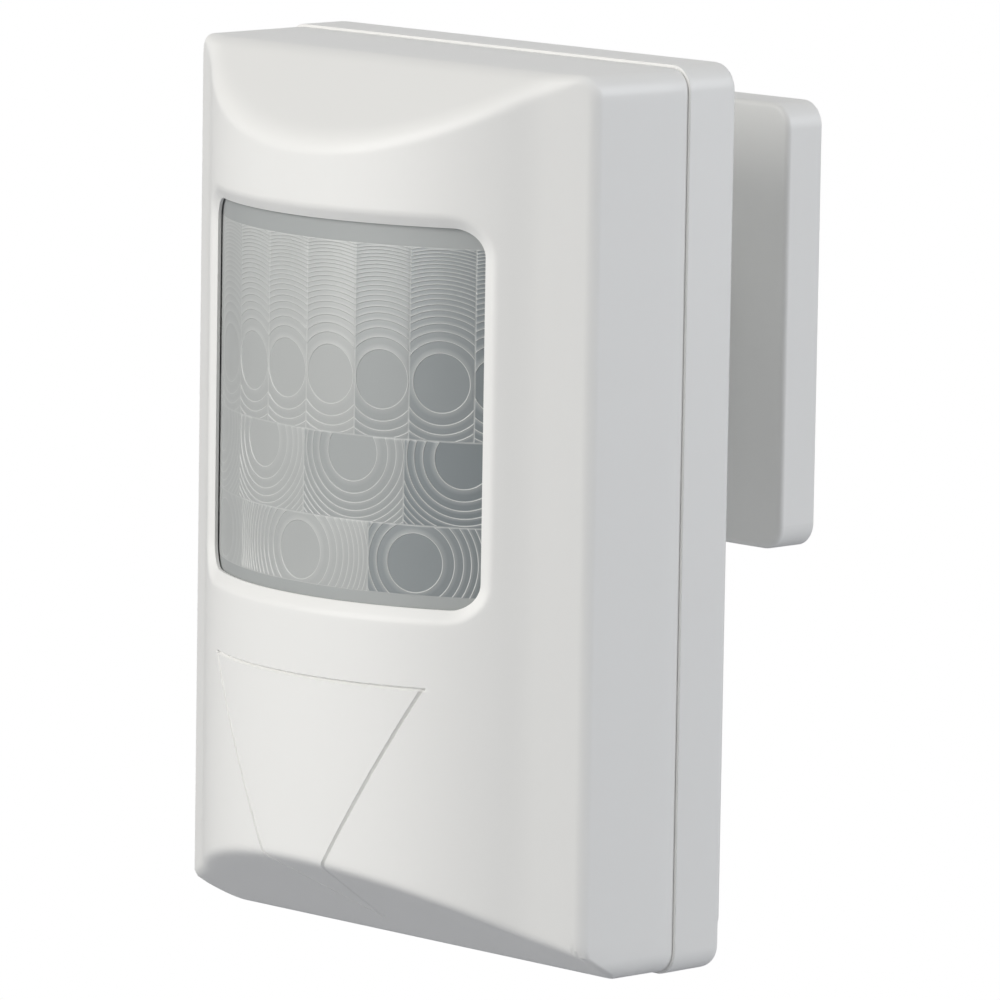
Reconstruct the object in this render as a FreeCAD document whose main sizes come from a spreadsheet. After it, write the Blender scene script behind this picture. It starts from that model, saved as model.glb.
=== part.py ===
import FreeCAD, Part
import Sketcher
import math
import os
import re

# Wall-mounted passive infrared motion sensor on a ball-jointed bracket, in millimetres.
# +Z is up and the sensor looks along -Y. The origin is the centre of the bracket's back face,
# so the wall is the plane Y = 0 and everything stands in front of it.
# Sizes named *_low are places on the sensor head, counted up from its bottom.

SIZES = {
    # sensor head
    "head_width": 62.0,
    "head_height": 97.0,
    "cover_depth": 13.4,        # front cover, from its outer front edge back to the seam
    "rear_depth": 7.5,
    "corner_round": 2.4,
    "wall": 2.0,
    "rear_overhang": 0.3,       # the rear cover stands this much proud of the front cover
    "rear_edge_round": 1.5,     # back edge of the rear cover
    "back_step": 0.8,           # the rear cover's back is set in this much at its two ends
    "back_step_low": 5.0,       # height of the lower set-in strip
    "back_step_high": 1.5,      # height of the upper one
    "back_ramp_low": 1.2,       # height over which the back comes out again above the lower strip
    "back_ramp_high": 3.5,      # and below the upper one
    # front face: two tilted flanges and a cylindrical bulge cut off by slopes above and below
    "flange_tilt": 31.5,
    "flange_width": 6.2,        # across the front, from the side to the crease
    "bulge_front": 13.7,        # how far the bulge stands in front of the cover's outer front edge
    "top_slope": 35.0,
    "top_slope_start": 1.64,
    "bottom_slope": 29.9,
    "bottom_slope_start": 5.87,
    # engraved triangle under the window
    "mark_width": 32.1,
    "mark_high": 31.3,
    "mark_low": 3.2,
    "groove_width": 0.4,
    "groove_depth": 0.3,
    # window and lens
    "window_width": 41.8,
    "window_low": 39.8,
    "window_top_margin": 17.1,  # head's top down to the window
    "window_round": 3.0,
    "lens_thickness": 0.7,
    "lens_fit": 0.1,
    "lens_sink": 0.95,          # depth of the lens's face behind the bulge's surface
    "lens_side_overlap": 2.0,
    "lens_end_overlap": 1.8,
    "retainer_depth": 1.5,
    "retainer_end_bar": 1.6,
    "retainer_rim": 0.9,
    # covers' joint
    "lip_height": 1.2,
    "lip_thickness": 1.0,
    "lip_gap": 0.15,
    "inner_corner": 0.5,        # least radius of the corners inside both covers
    "tongue_width": 10.0,
    "tongue_length": 5.0,
    "tongue_gap": 0.35,
    # cable entry
    "cable_hole_radius": 3.5,
    "cable_hole_low": 12.0,     # hole's axis
    # circuit board and what holds it
    "standoff_height": 3.2,
    "standoff_radius": 2.2,
    "standoff_inset": 3.0,      # standoff axis to the board's edges
    "board_thickness": 1.6,
    "board_gap": 1.6,           # board edge to the inside of the rear cover
    "board_low": 19.8,
    "board_top_margin": 5.4,
    "board_hole_radius": 1.4,
    "small_screw_radius": 1.1,
    "small_screw_head": 2.1,
    "small_screw_cap": 1.4,
    "small_screw_grip": 3.6,
    # pyroelectric sensor
    "sensor_below_top": 33.4,
    "sensor_lift": 1.2,         # header above the board
    "header_radius": 4.6,
    "header_thickness": 0.6,
    "can_radius": 4.1,
    "can_height": 3.6,
    "can_skin": 0.3,
    "sensor_window_width": 4.6,
    "sensor_window_height": 3.4,
    "filter_margin": 0.5,
    "filter_thickness": 0.4,
    "element_thickness": 0.5,
    "lead_radius": 0.22,
    "lead_circle": 2.54,
    "lead_tail": 1.2,
    "shroud_inner": 5.2,
    "shroud_outer": 6.6,
    "shroud_height": 4.6,
    # terminal block
    "terminal_count": 6.0,
    "terminal_pitch": 5.0,
    "terminal_end": 0.15,       # block's ends past the outer terminals
    "terminal_low": 21.0,
    "terminal_rise": 9.6,
    "terminal_depth": 10.2,
    "terminal_screw_radius": 1.8,
    "terminal_well_gap": 0.2,
    "terminal_well_depth": 3.4,
    "terminal_screw_sink": 0.6,
    "wire_mouth": 3.2,
    "wire_mouth_depth": 6.0,
    "screw_slot": 0.5,
    # tamper switch
    "tamper_x": 21.5,
    "tamper_low": 29.0,         # switch's axis
    "tamper_side": 6.0,
    "tamper_depth": 4.4,
    "plunger_radius": 1.1,
    "plunger_head": 1.9,
    "plunger_cap": 1.0,
    "plunger_fit": 0.06,
    "plunger_reach": 6.2,       # plunger's tip in front of the switch, held in by the closed cover
    "plunger_guide": 1.1,       # stem left in the switch when the plunger is out
    "tamper_travel": 1.5,
    "spring_wire": 0.2,
    "spring_gap": 0.25,
    "spring_turns": 5.0,
    "tamper_post_radius": 2.2,
    # sensitivity trimmer
    "trimmer_x": 21.6,
    "trimmer_low": 29.2,        # rotor's axis
    "trimmer_side": 6.8,
    "trimmer_depth": 4.6,
    "rotor_radius": 2.4,
    "rotor_height": 1.6,
    "rotor_stand": 0.5,         # how far the rotor stands out of its body
    "rotor_gap": 0.1,
    # relay, capacitors, chips and small parts
    "relay_width": 19.0,
    "relay_rise": 9.6,
    "relay_depth": 9.8,
    "relay_x": -15.0,
    "relay_low": 33.4,
    "capacitor_radius": 3.15,
    "capacitor_height": 11.0,
    "capacitor_groove": 0.25,
    "capacitor_x": 9.0,
    "capacitor_spacing": 8.4,
    "capacitor_low": 38.4,      # capacitors' axes
    "chip_width": 3.9,
    "chip_length": 8.7,
    "chip_height": 1.5,
    "chip_pitch": 1.27,
    "chip_leg": 0.42,
    "chip_leg_reach": 1.05,
    "chip_x": 10.3,
    "chip_offset": 0.3,            # offsets are counted up from the sensor's axis
    "chip_component_length": 2.0,
    "chip_component_width": 1.25,
    "chip_component_height": 0.6,
    "chip_component_pitch": 4.2,
    "resistor_offset": 12.4,
    "ceramic_offset": 18.4,
    "led_x": 15.5,
    "led_offset": 0.4,
    "led_radius": 1.5,
    "led_height": 4.2,
    "led_rim": 0.4,
    "jumper_x": -18.0,
    "jumper_offset": 4.4,
    "jumper_pitch": 2.54,
    "jumper_spacing": 5.6,
    "jumper_pin": 0.64,
    "jumper_base": 2.5,
    "jumper_pin_height": 8.4,
    "jumper_cap_height": 5.6,
    "jumper_wall": 0.7,
    # wall bracket
    "plate_width": 46.0,
    "plate_height": 48.8,
    "plate_depth": 5.2,
    "plate_round": 2.7,
    "plate_wall": 1.9,
    "plate_edge_round": 0.6,    # front edge of the plate
    "plate_drop": 30.1,         # head's top down to the plate's centre and the ball
    "wall_screw_spacing": 32.0,
    "wall_screw_radius": 2.1,
    "wall_screw_head": 4.1,
    "wall_screw_sink": 2.2,
    "boss_radius": 5.4,
    "rib_thickness": 1.4,
    # ball joint
    "ball_radius": 5.5,
    "ball_gap": 0.2,
    "liner_thickness": 1.0,
    "liner_reach": 3.0,         # liner's mouth, in front of the ball's centre towards the wall
    "stem_radius": 2.5,
    "stem_reach": 8.0,          # ball's centre to the plate's front
    "foot_radius": 4.6,
    "foot_thickness": 1.5,
    "socket_floor": 1.1,        # under the cavity, against the head's back
    "socket_side": 2.1,         # around the cavity
    "socket_reach": 3.2,
    "ear_half_height": 2.6,
    "ear_wall": 0.7,            # around the sunk heads of the socket's screws
    "socket_screw_gap": 0.4,    # socket's round side to the screws' axes
    "socket_screw_radius": 1.0,
    "socket_screw_head": 1.6,
    "socket_screw_cap": 1.2,
    "socket_boss_radius": 2.6,
    "socket_boss_height": 2.6,
    "stud_screw_radius": 1.5,
    "stud_screw_head": 2.75,
    "stud_screw_cap": 1.6,
    "stud_screw_length": 9.0,
    "screw_gap": 0.15,          # clearance round a screw's head and past its tip
    "cut_margin": 1.0,          # how far a cutting shape runs past the face it cuts
}

# Places that follow from the sizes above.
PLACES = {
    "base_z": "plate_drop - head_height",
    "top_z": "plate_drop",
    "ball_y": "-(plate_depth + stem_reach)",
    "back_y": "ball_y - cavity_radius - socket_floor",
    "step_y": "back_y - back_step",
    "floor_y": "step_y - wall",
    "seam_y": "back_y - rear_depth",
    "front_y": "seam_y - cover_depth",
    "crease_x": "half - flange_width",
    "sagitta": "bulge_front - flange_width * tan(flange_tilt * 1deg)",
    "bulge_radius": "(crease_x ^ 2 + sagitta ^ 2) / (2 * sagitta)",
    "bulge_y": "front_y - bulge_front + bulge_radius",
    "far_y": "bulge_y - bulge_radius - cut_margin",
    "half": "head_width / 2",
    "rear_half": "half + rear_overhang",
    "board_back": "floor_y - standoff_height",
    "board_face": "board_back - board_thickness",
    "board_half": "rear_half - wall - board_gap",
    "board_z0": "base_z + board_low",
    "board_z1": "top_z - board_top_margin",
    "liner_inner": "ball_radius + ball_gap",
    "liner_outer": "liner_inner + liner_thickness",
    "cavity_radius": "liner_outer + ball_gap",
    "socket_face": "ball_y + socket_reach",
    "socket_radius": "cavity_radius + socket_side",
    "socket_screw_x": "socket_radius + socket_screw_gap",
    "ear_half_width": "socket_screw_x + socket_screw_head + screw_gap + ear_wall",
    "window_z0": "base_z + window_low",
    "window_z1": "top_z - window_top_margin",
    "lens_outer": "bulge_radius - lens_sink",
    "lens_inner": "lens_outer - lens_thickness",
    "lens_half": "window_width / 2 + lens_side_overlap",
    "sensor_z": "top_z - sensor_below_top",
    "header_back": "board_face - sensor_lift",
    "header_front": "header_back - header_thickness",
    "can_front": "header_front - can_height",
    "tamper_z": "base_z + tamper_low",
    "tamper_face": "board_face - tamper_depth",
    "plunger_tip": "tamper_face - plunger_reach",
    "plunger_end": "tamper_face + plunger_guide + tamper_travel",
    "trimmer_z": "base_z + trimmer_low",
    "trimmer_face": "board_face - trimmer_depth",
    "terminal_face": "board_face - terminal_depth",
    "terminal_half": "terminal_count * terminal_pitch / 2 + terminal_end",
}

doc = FreeCAD.newDocument("MotionSensor")
sheet = doc.addObject("Spreadsheet::Sheet", "Sizes")
for row, (alias, number) in enumerate(SIZES.items(), start=1):
    sheet.set(f"A{row}", alias)
    sheet.set(f"B{row}", str(number))
    sheet.setAlias(f"B{row}", alias)
doc.recompute()

nodes = []


def expand(text):
    """An expression in plain size and place names, rewritten to read the sheet's cells."""
    def swap(match):
        word = match.group(0)
        if word in PLACES:
            return f"({expand(PLACES[word])})"
        if word in SIZES:
            return f"Sizes.{word}"
        return word
    return re.sub(r"[A-Za-z_][A-Za-z_0-9]*", swap, str(text))


def value(text):
    return float(sheet.evalExpression(expand(text)))


def bind(obj, prop, text):
    obj.setExpression(prop, expand(text))


def put(obj, x, y, z):
    bind(obj, "Placement.Base.x", x)
    bind(obj, "Placement.Base.y", y)
    bind(obj, "Placement.Base.z", z)


def finished(obj, label):
    """Marks an object as a sub-part that is written out under its label."""
    obj.Label = label
    nodes.append(obj)
    return obj


def box(name, x0, x1, y0, y1, z0, z1):
    solid = doc.addObject("Part::Box", name)
    bind(solid, "Length", f"({x1}) - ({x0})")
    bind(solid, "Width", f"({y1}) - ({y0})")
    bind(solid, "Height", f"({z1}) - ({z0})")
    put(solid, x0, y0, z0)
    return solid


def rod(name, radius, x, y0, y1, z):
    """A cylinder lying along Y from y0 to y1."""
    solid = doc.addObject("Part::Cylinder", name)
    bind(solid, "Radius", radius)
    bind(solid, "Height", f"({y1}) - ({y0})")
    solid.Placement = FreeCAD.Placement(FreeCAD.Vector(), FreeCAD.Rotation(FreeCAD.Vector(1, 0, 0), -90))
    put(solid, x, y0, z)
    return solid


def post(name, radius, x, y, z0, z1):
    """A cylinder standing along Z from z0 to z1."""
    solid = doc.addObject("Part::Cylinder", name)
    bind(solid, "Radius", radius)
    bind(solid, "Height", f"({z1}) - ({z0})")
    put(solid, x, y, z0)
    return solid


def taper(name, radius0, radius1, x, y0, y1, z):
    """A cone along Y, radius0 at y0 and radius1 at y1."""
    solid = doc.addObject("Part::Cone", name)
    bind(solid, "Radius1", radius0)
    bind(solid, "Radius2", radius1)
    bind(solid, "Height", f"({y1}) - ({y0})")
    solid.Placement = FreeCAD.Placement(FreeCAD.Vector(), FreeCAD.Rotation(FreeCAD.Vector(1, 0, 0), -90))
    put(solid, x, y0, z)
    return solid


def ball(name, radius, x, y, z):
    solid = doc.addObject("Part::Sphere", name)
    bind(solid, "Radius", radius)
    put(solid, x, y, z)
    return solid


def cut(name, base, tool):
    result = doc.addObject("Part::Cut", name)
    result.Base = base
    result.Tool = tool
    return result


def fuse(name, solids):
    result = doc.addObject("Part::MultiFuse", name)
    result.Shapes = solids
    return result


def common(name, solids):
    result = doc.addObject("Part::MultiCommon", name)
    result.Shapes = solids
    return result


def group(name, solids):
    """Separate solids that share one node."""
    result = doc.addObject("Part::Compound", name)
    result.Links = solids
    return result


def plane_of(body, role):
    return next(f for f in body.Origin.OriginFeatures if f.Role == role)


def new_sketch(body, name, role, offset):
    """A sketch on one of its body's own planes, moved along the plane's normal by offset."""
    sketch = body.newObject("Sketcher::SketchObject", name)
    sketch.AttachmentSupport = [(plane_of(body, role), "")]
    sketch.MapMode = "FlatFace"
    bind(sketch, "AttachmentOffset.Base.z", offset)
    return sketch


def pin_point(sketch, edge, end, u, v, name):
    """Fixes one end of a sketch edge at the expressions u, v."""
    for kind, text in (("DistanceX", u), ("DistanceY", v)):
        index = sketch.addConstraint(Sketcher.Constraint(kind, -1, 1, edge, end, value(text)))
        sketch.renameConstraint(index, f"{name}_{kind}")
        bind(sketch, f"Constraints.{name}_{kind}", text)


def polygon(sketch, corners):
    """A closed outline of straight edges with every corner bound to the sheet."""
    points = [FreeCAD.Vector(value(u), value(v), 0) for u, v in corners]
    count = len(points)
    for i in range(count):
        sketch.addGeometry(Part.LineSegment(points[i], points[(i + 1) % count]), False)
    for i in range(count):
        sketch.addConstraint(Sketcher.Constraint("Coincident", i, 2, (i + 1) % count, 1))
    for i, (u, v) in enumerate(corners):
        pin_point(sketch, i, 1, u, v, f"corner{i}")


def pad(body, sketch, name, length):
    feature = body.newObject("PartDesign::Pad", name)
    feature.Profile = sketch
    bind(feature, "Length", length)
    sketch.Visibility = False
    return feature


def prism(name, role, corners, low, high):
    """A straight-sided block: an outline on a plane, padded from low to high along its axis.

    XZ outlines are drawn as (x, z) and padded along Y; YZ outlines as (y, z) along X;
    XY outlines as (x, y) along Z.
    """
    body = doc.addObject("PartDesign::Body", name)
    start = f"-({high})" if role == "XZ_Plane" else low
    sketch = new_sketch(body, name + "_outline", role, start)
    polygon(sketch, corners)
    doc.recompute()
    pad(body, sketch, name + "_pad", f"({high}) - ({low})")
    doc.recompute()
    return body


def corner(inset):
    """Radius of the covers' corners, inset from their outer form."""
    return f"max(corner_round - ({inset}); inner_corner)"


def rounded_block(name, x0, x1, z0, z1, y0, y1, radius, end=None, end_round=None):
    """A block along Y whose four edges along Y are rounded; end_round also rounds the rim of one end."""
    body = prism(name, "XZ_Plane", [(x0, z0), (x1, z0), (x1, z1), (x0, z1)], y0, y1)
    base = body.Tip
    long_edges = []
    for i, edge in enumerate(base.Shape.Edges, start=1):
        step = edge.Vertexes[-1].Point - edge.Vertexes[0].Point
        if abs(step.y) > 1e-6 and abs(step.x) + abs(step.z) < 1e-6:
            long_edges.append(f"Edge{i}")
    rounding = body.newObject("PartDesign::Fillet", name + "_round")
    rounding.Base = (base, long_edges)
    bind(rounding, "Radius", radius)
    doc.recompute()
    if end_round:
        faces = []
        for i, face in enumerate(rounding.Shape.Faces, start=1):
            if face.BoundBox.YLength < 1e-6 and abs(face.BoundBox.YMin - value(end)) < 1e-6:
                faces.append(f"Face{i}")
        rim = body.newObject("PartDesign::Fillet", name + "_rim")
        rim.Base = (rounding, faces)
        bind(rim, "Radius", end_round)
        doc.recompute()
    return body


def mouth_plan(sketch, inset):
    """The cover's plan: a round bulge between two tilted flanges, then straight back to the seam."""
    tilt = "flange_tilt * 1deg"
    radius = f"(bulge_radius - {inset})"
    side = f"(half - {inset})"
    corner = f"(front_y + {inset} * (1 - sin({tilt})) / cos({tilt}))"
    back = "(seam_y)" if inset == "0" else "(seam_y + cut_margin)"
    # where the flange, drawn from the corner, first meets the bulge
    behind = f"(bulge_y - {corner})"
    across = f"({side} * cos({tilt}) - {behind} * sin({tilt}))"
    run = f"({across} - sqrt({across} ^ 2 - {side} ^ 2 - {behind} ^ 2 + {radius} ^ 2))"
    crease = f"({side} - {run} * cos({tilt}))"
    a, b = value(crease), value("bulge_y")
    crease_y = b - math.sqrt(value(radius)**2 - a**2)
    circle = Part.Circle(FreeCAD.Vector(0, b, 0), FreeCAD.Vector(0, 0, 1), value(radius))
    turn = math.atan2(crease_y - b, a)
    sketch.addGeometry(Part.ArcOfCircle(circle, -math.pi - turn, turn), False)
    right = [(a, crease_y), (value(side), value(corner)), (value(side), value(back))]
    loop = right + [(-x, y) for x, y in reversed(right)]
    for (x0, y0), (x1, y1) in zip(loop, loop[1:]):
        ends = FreeCAD.Vector(x0, y0, 0), FreeCAD.Vector(x1, y1, 0)
        sketch.addGeometry(Part.LineSegment(*ends), False)
    for edge in range(6):
        sketch.addConstraint(Sketcher.Constraint("Coincident", edge, 2, (edge + 1) % 6, 1))
    pin_point(sketch, 0, 3, "0", "bulge_y", "axis")
    index = sketch.addConstraint(Sketcher.Constraint("Radius", 0, value(radius)))
    sketch.renameConstraint(index, "bulge")
    bind(sketch, "Constraints.bulge", radius)
    for end, text, label in ((2, crease, "right_crease"), (1, f"-{crease}", "left_crease")):
        index = sketch.addConstraint(Sketcher.Constraint("DistanceX", -1, 1, 0, end, value(text)))
        sketch.renameConstraint(index, label)
        bind(sketch, f"Constraints.{label}", text)
    pin_point(sketch, 2, 1, side, corner, "right_front")
    pin_point(sketch, 3, 1, side, back, "right_back")
    pin_point(sketch, 4, 1, f"-{side}", back, "left_back")
    pin_point(sketch, 5, 1, f"-{side}", corner, "left_front")


def cover_blank(name, inset):
    """The front cover's outer form as a solid, with every outer face moved in by inset."""
    plan = doc.addObject("PartDesign::Body", name + "_plan")
    sketch = new_sketch(plan, name + "_plan_outline", "XY_Plane", "base_z")
    mouth_plan(sketch, inset)
    doc.recompute()
    pad(plan, sketch, name + "_plan_pad", "head_height")
    doc.recompute()
    back = "seam_y" if inset == "0" else "seam_y + cut_margin"
    front = rounded_block(
        name + "_front", f"-(half - {inset})", f"half - {inset}",
        f"base_z + {inset}", f"top_z - {inset}", "far_y", back, corner(inset),
    )
    # the slopes that cut the bulge off above and below
    fall = "tan(top_slope * 1deg)"
    start = f"front_y - top_slope_start + {inset} / sin(top_slope * 1deg)"
    upper = prism(
        name + "_upper", "YZ_Plane",
        [(start, "top_z"), ("far_y", "top_z"), ("far_y", f"top_z - ({start} - far_y) * {fall}")],
        "-head_width", "head_width",
    )
    rise = "tan(bottom_slope * 1deg)"
    start = f"front_y + bottom_slope_start + {inset} / sin(bottom_slope * 1deg)"
    lower = prism(
        name + "_lower", "YZ_Plane",
        [(start, "base_z"), ("far_y", "base_z"), ("far_y", f"base_z + ({start} - far_y) * {rise}")],
        "-head_width", "head_width",
    )
    both = common(name + "_both", [plan, front])
    return cut(name, cut(name + "_topped", both, upper), lower)


def make_front_cover():
    outer = cover_blank("cover_outer", "0")
    hollow = cover_blank("cover_hollow", "wall")
    skin = cover_blank("cover_skin", "groove_depth")
    window = rounded_block(
        "cover_window", "-window_width / 2", "window_width / 2", "window_z0", "window_z1",
        "far_y", "front_y", "window_round",
    )
    # the engraved triangle: an outline groove that follows the bulge and the slope under it
    inner = "groove_width"
    lean = "(mark_width / 2) / (mark_high - mark_low)"
    mark = prism(
        "mark_block", "XZ_Plane",
        [("-mark_width / 2", "base_z + mark_high"), ("0", "base_z + mark_low"),
         ("mark_width / 2", "base_z + mark_high")],
        "far_y", "seam_y - lip_height",
    )
    land_top = f"base_z + mark_high - {inner}"
    land_low = f"base_z + mark_low + {inner} * sqrt(1 + 1 / ({lean}) ^ 2)"
    land_half = f"({land_top} - ({land_low})) * {lean}"
    land = prism(
        "mark_land", "XZ_Plane",
        [(f"-({land_half})", land_top), ("0", land_low), (land_half, land_top)],
        "far_y - cut_margin", "seam_y",
    )
    groove = cut("mark_groove", cut("mark_outline", mark, land), skin)
    # the lens and its retainer sit in a seat sunk into the wall from behind
    seat = sector_shell(
        "lens_seat", "(lens_outer + lens_fit)", "(bulge_radius - 2 * wall)", "(lens_half + lens_fit)",
        "(window_z0 - lens_end_overlap - retainer_end_bar - lens_fit)",
        "(window_z1 + lens_end_overlap + retainer_end_bar + lens_fit)",
    )
    shell = cut("cover_shell", outer, hollow)
    shell = cut("cover_opened", cut("cover_seated", shell, seat), window)
    shell = cut("cover_marked", shell, groove)
    # a post inside the right flange holds the tamper plunger in while the cover is shut
    post_blank = rod("tamper_post", "tamper_post_radius", "tamper_x", "far_y", "plunger_tip", "tamper_z")
    post_inside = common("tamper_post_inside", [post_blank, cover_blank("cover_post_limit", "wall / 2")])
    finished(fuse("front_cover_solid", [shell, post_inside]), "front_cover")


def sector_shell(name, outer, inner, half_width, z0, z1):
    """A strip of tube about the bulge's axis, cut straight at +-half_width."""
    tube = cut(
        name + "_tube",
        post(name + "_outer", outer, "0", "bulge_y", z0, z1),
        post(name + "_inner", inner, "0", "bulge_y", f"{z0} - cut_margin", f"{z1} + cut_margin"),
    )
    limits = box(name + "_limits", f"-({half_width})", half_width, "far_y", "front_y + wall", z0, z1)
    return common(name + "_strip", [tube, limits])


def make_lens():
    lens = sector_shell(
        "lens", "lens_outer", "lens_inner", "lens_half",
        "(window_z0 - lens_end_overlap)", "(window_z1 + lens_end_overlap)",
    )
    finished(lens, "fresnel_lens")
    frame = sector_shell(
        "retainer", "lens_inner", "(lens_inner - retainer_depth)", "lens_half",
        "(window_z0 - lens_end_overlap - retainer_end_bar)",
        "(window_z1 + lens_end_overlap + retainer_end_bar)",
    )
    mouth = rounded_block(
        "retainer_mouth", "-(lens_half - retainer_rim)", "lens_half - retainer_rim",
        "window_z0 - retainer_rim", "window_z1 + retainer_rim", "far_y", "front_y + 2 * wall",
        "window_round",
    )
    finished(cut("retainer_frame", frame, mouth), "lens_retainer")


def make_rear_cover():
    tray = rounded_block(
        "tray_outer", "-rear_half", "rear_half", "base_z - rear_overhang", "top_z + rear_overhang",
        "seam_y", "back_y", "corner_round + rear_overhang", "back_y", "rear_edge_round",
    )
    hollow = rounded_block(
        "tray_hollow", "-(rear_half - wall)", "rear_half - wall",
        "base_z - rear_overhang + wall", "top_z + rear_overhang - wall",
        "seam_y - cut_margin", "floor_y", corner("wall - rear_overhang"),
    )
    low = "base_z - rear_overhang + back_step_low"
    high = "top_z + rear_overhang - back_step_high"
    lower_step = prism(
        "tray_lower_step", "YZ_Plane",
        [("step_y", "base_z - rear_overhang - cut_margin"), ("step_y", low),
         ("back_y", f"{low} + back_ramp_low"), ("back_y + cut_margin", f"{low} + back_ramp_low"),
         ("back_y + cut_margin", "base_z - rear_overhang - cut_margin")],
        "-head_width", "head_width",
    )
    upper_step = prism(
        "tray_upper_step", "YZ_Plane",
        [("step_y", "top_z + rear_overhang + cut_margin"), ("step_y", high),
         ("back_y", f"{high} - back_ramp_high"), ("back_y + cut_margin", f"{high} - back_ramp_high"),
         ("back_y + cut_margin", "top_z + rear_overhang + cut_margin")],
        "-head_width", "head_width",
    )
    reach = "half - wall - lip_gap"
    lip_outer = rounded_block(
        "lip_outer", f"-({reach})", reach, "base_z + wall + lip_gap", "top_z - wall - lip_gap",
        "seam_y - lip_height", "seam_y + wall", corner("wall + lip_gap"),
    )
    root = rounded_block(
        "lip_root", "-(rear_half - wall / 2)", "rear_half - wall / 2", "base_z - rear_overhang + wall / 2",
        "top_z + rear_overhang - wall / 2", "seam_y", "seam_y + wall", corner("wall / 2"),
    )
    lip_inner = rounded_block(
        "lip_inner", f"-({reach} - lip_thickness)", f"{reach} - lip_thickness",
        "base_z + wall + lip_gap + lip_thickness", "top_z - wall - lip_gap - lip_thickness",
        "seam_y - lip_height - cut_margin", "seam_y + wall + cut_margin",
        corner("wall + lip_gap + lip_thickness"),
    )
    shell = cut("tray_shell", cut("tray_stepped", tray, fuse("tray_steps", [lower_step, upper_step])),
                hollow)
    lip = cut("lip_ring", fuse("lip_both", [lip_outer, root]), lip_inner)
    tongues = []
    for side in (-1, 1):
        x = f"{side} * head_width / 4"
        tongues.append(box(
            f"tongue_top_{side + 1}", f"{x} - tongue_width / 2", f"{x} + tongue_width / 2",
            "seam_y - tongue_length", "seam_y + wall",
            "top_z - wall - tongue_gap - lip_thickness", "top_z - wall - tongue_gap",
        ))
    tongues.append(box(
        "tongue_low", "-tongue_width / 2", "tongue_width / 2", "seam_y - tongue_length", "seam_y + wall",
        "base_z + wall + tongue_gap", "base_z + wall + tongue_gap + lip_thickness",
    ))
    standoffs = []
    pilots = []
    for i, (x, z) in enumerate(standoff_places()):
        standoffs.append(rod(f"standoff_{i}", "standoff_radius", x, "board_back", "step_y", z))
        pilots.append(rod(f"standoff_hole_{i}", "small_screw_radius", x, "board_back - cut_margin",
                          "board_back + small_screw_grip", z))
    bosses = []
    for side in (-1, 1):
        x = f"{side} * socket_screw_x"
        bosses.append(rod(f"socket_boss_{side + 1}", "socket_boss_radius", x,
                          "floor_y - socket_boss_height", "step_y", "0"))
        pilots.append(rod(f"socket_hole_{side + 1}", "socket_screw_radius", x,
                          "floor_y - socket_boss_height - cut_margin", "back_y + cut_margin", "0"))
    entry = rod("cable_entry", "cable_hole_radius", "0", "floor_y - cut_margin", "back_y + cut_margin",
                "base_z + cable_hole_low")
    solid = fuse("tray_solid", [shell, lip] + tongues + standoffs + bosses)
    finished(cut("tray_drilled", solid, fuse("tray_holes", pilots + [entry])), "rear_cover")


def standoff_places():
    left = "-(board_half - standoff_inset)"
    right = "(board_half - standoff_inset)"
    low = "(board_z0 + standoff_inset)"
    high = "(board_z1 - standoff_inset)"
    return [(left, low), (right, low), (right, high), (left, high)]


def make_board():
    board = rounded_block(
        "board_blank", "-board_half", "board_half", "board_z0", "board_z1",
        "board_face", "board_back", "standoff_radius",
    )
    holes = []
    for i, (x, z) in enumerate(standoff_places()):
        holes.append(rod(f"board_hole_{i}", "board_hole_radius", x, "board_face - cut_margin",
                         "board_back + cut_margin", z))
    for i, (x, z) in enumerate(lead_places()):
        holes.append(rod(f"lead_hole_{i}", "lead_radius", x, "board_face - cut_margin",
                         "board_back + cut_margin", z))
    finished(cut("board_drilled", board, fuse("board_holes", holes)), "circuit_board")
    screws = []
    for i, (x, z) in enumerate(standoff_places()):
        shank = rod(f"board_shank_{i}", "small_screw_radius", x, "board_face",
                    "board_back + small_screw_grip - screw_gap", z)
        head = rod(f"board_head_{i}", "small_screw_head", x, "board_face - small_screw_cap", "board_face", z)
        blank = fuse(f"board_screw_{i}", [shank, head])
        slot = box(
            f"board_slot_{i}", f"{x} - small_screw_head - cut_margin",
            f"{x} + small_screw_head + cut_margin",
            "board_face - small_screw_cap - cut_margin", "board_face - small_screw_cap / 2",
            f"{z} - screw_slot / 2", f"{z} + screw_slot / 2",
        )
        screws.append(cut(f"board_screw_cut_{i}", blank, slot))
    finished(group("board_screw_set", screws), "board_screws")


def lead_places():
    """Three leads, on the header's lead circle."""
    places = []
    for turn in (-90, 0, 90):
        places.append((f"lead_circle * sin({turn} * 1deg)", f"sensor_z - lead_circle * cos({turn} * 1deg)"))
    return places


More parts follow.
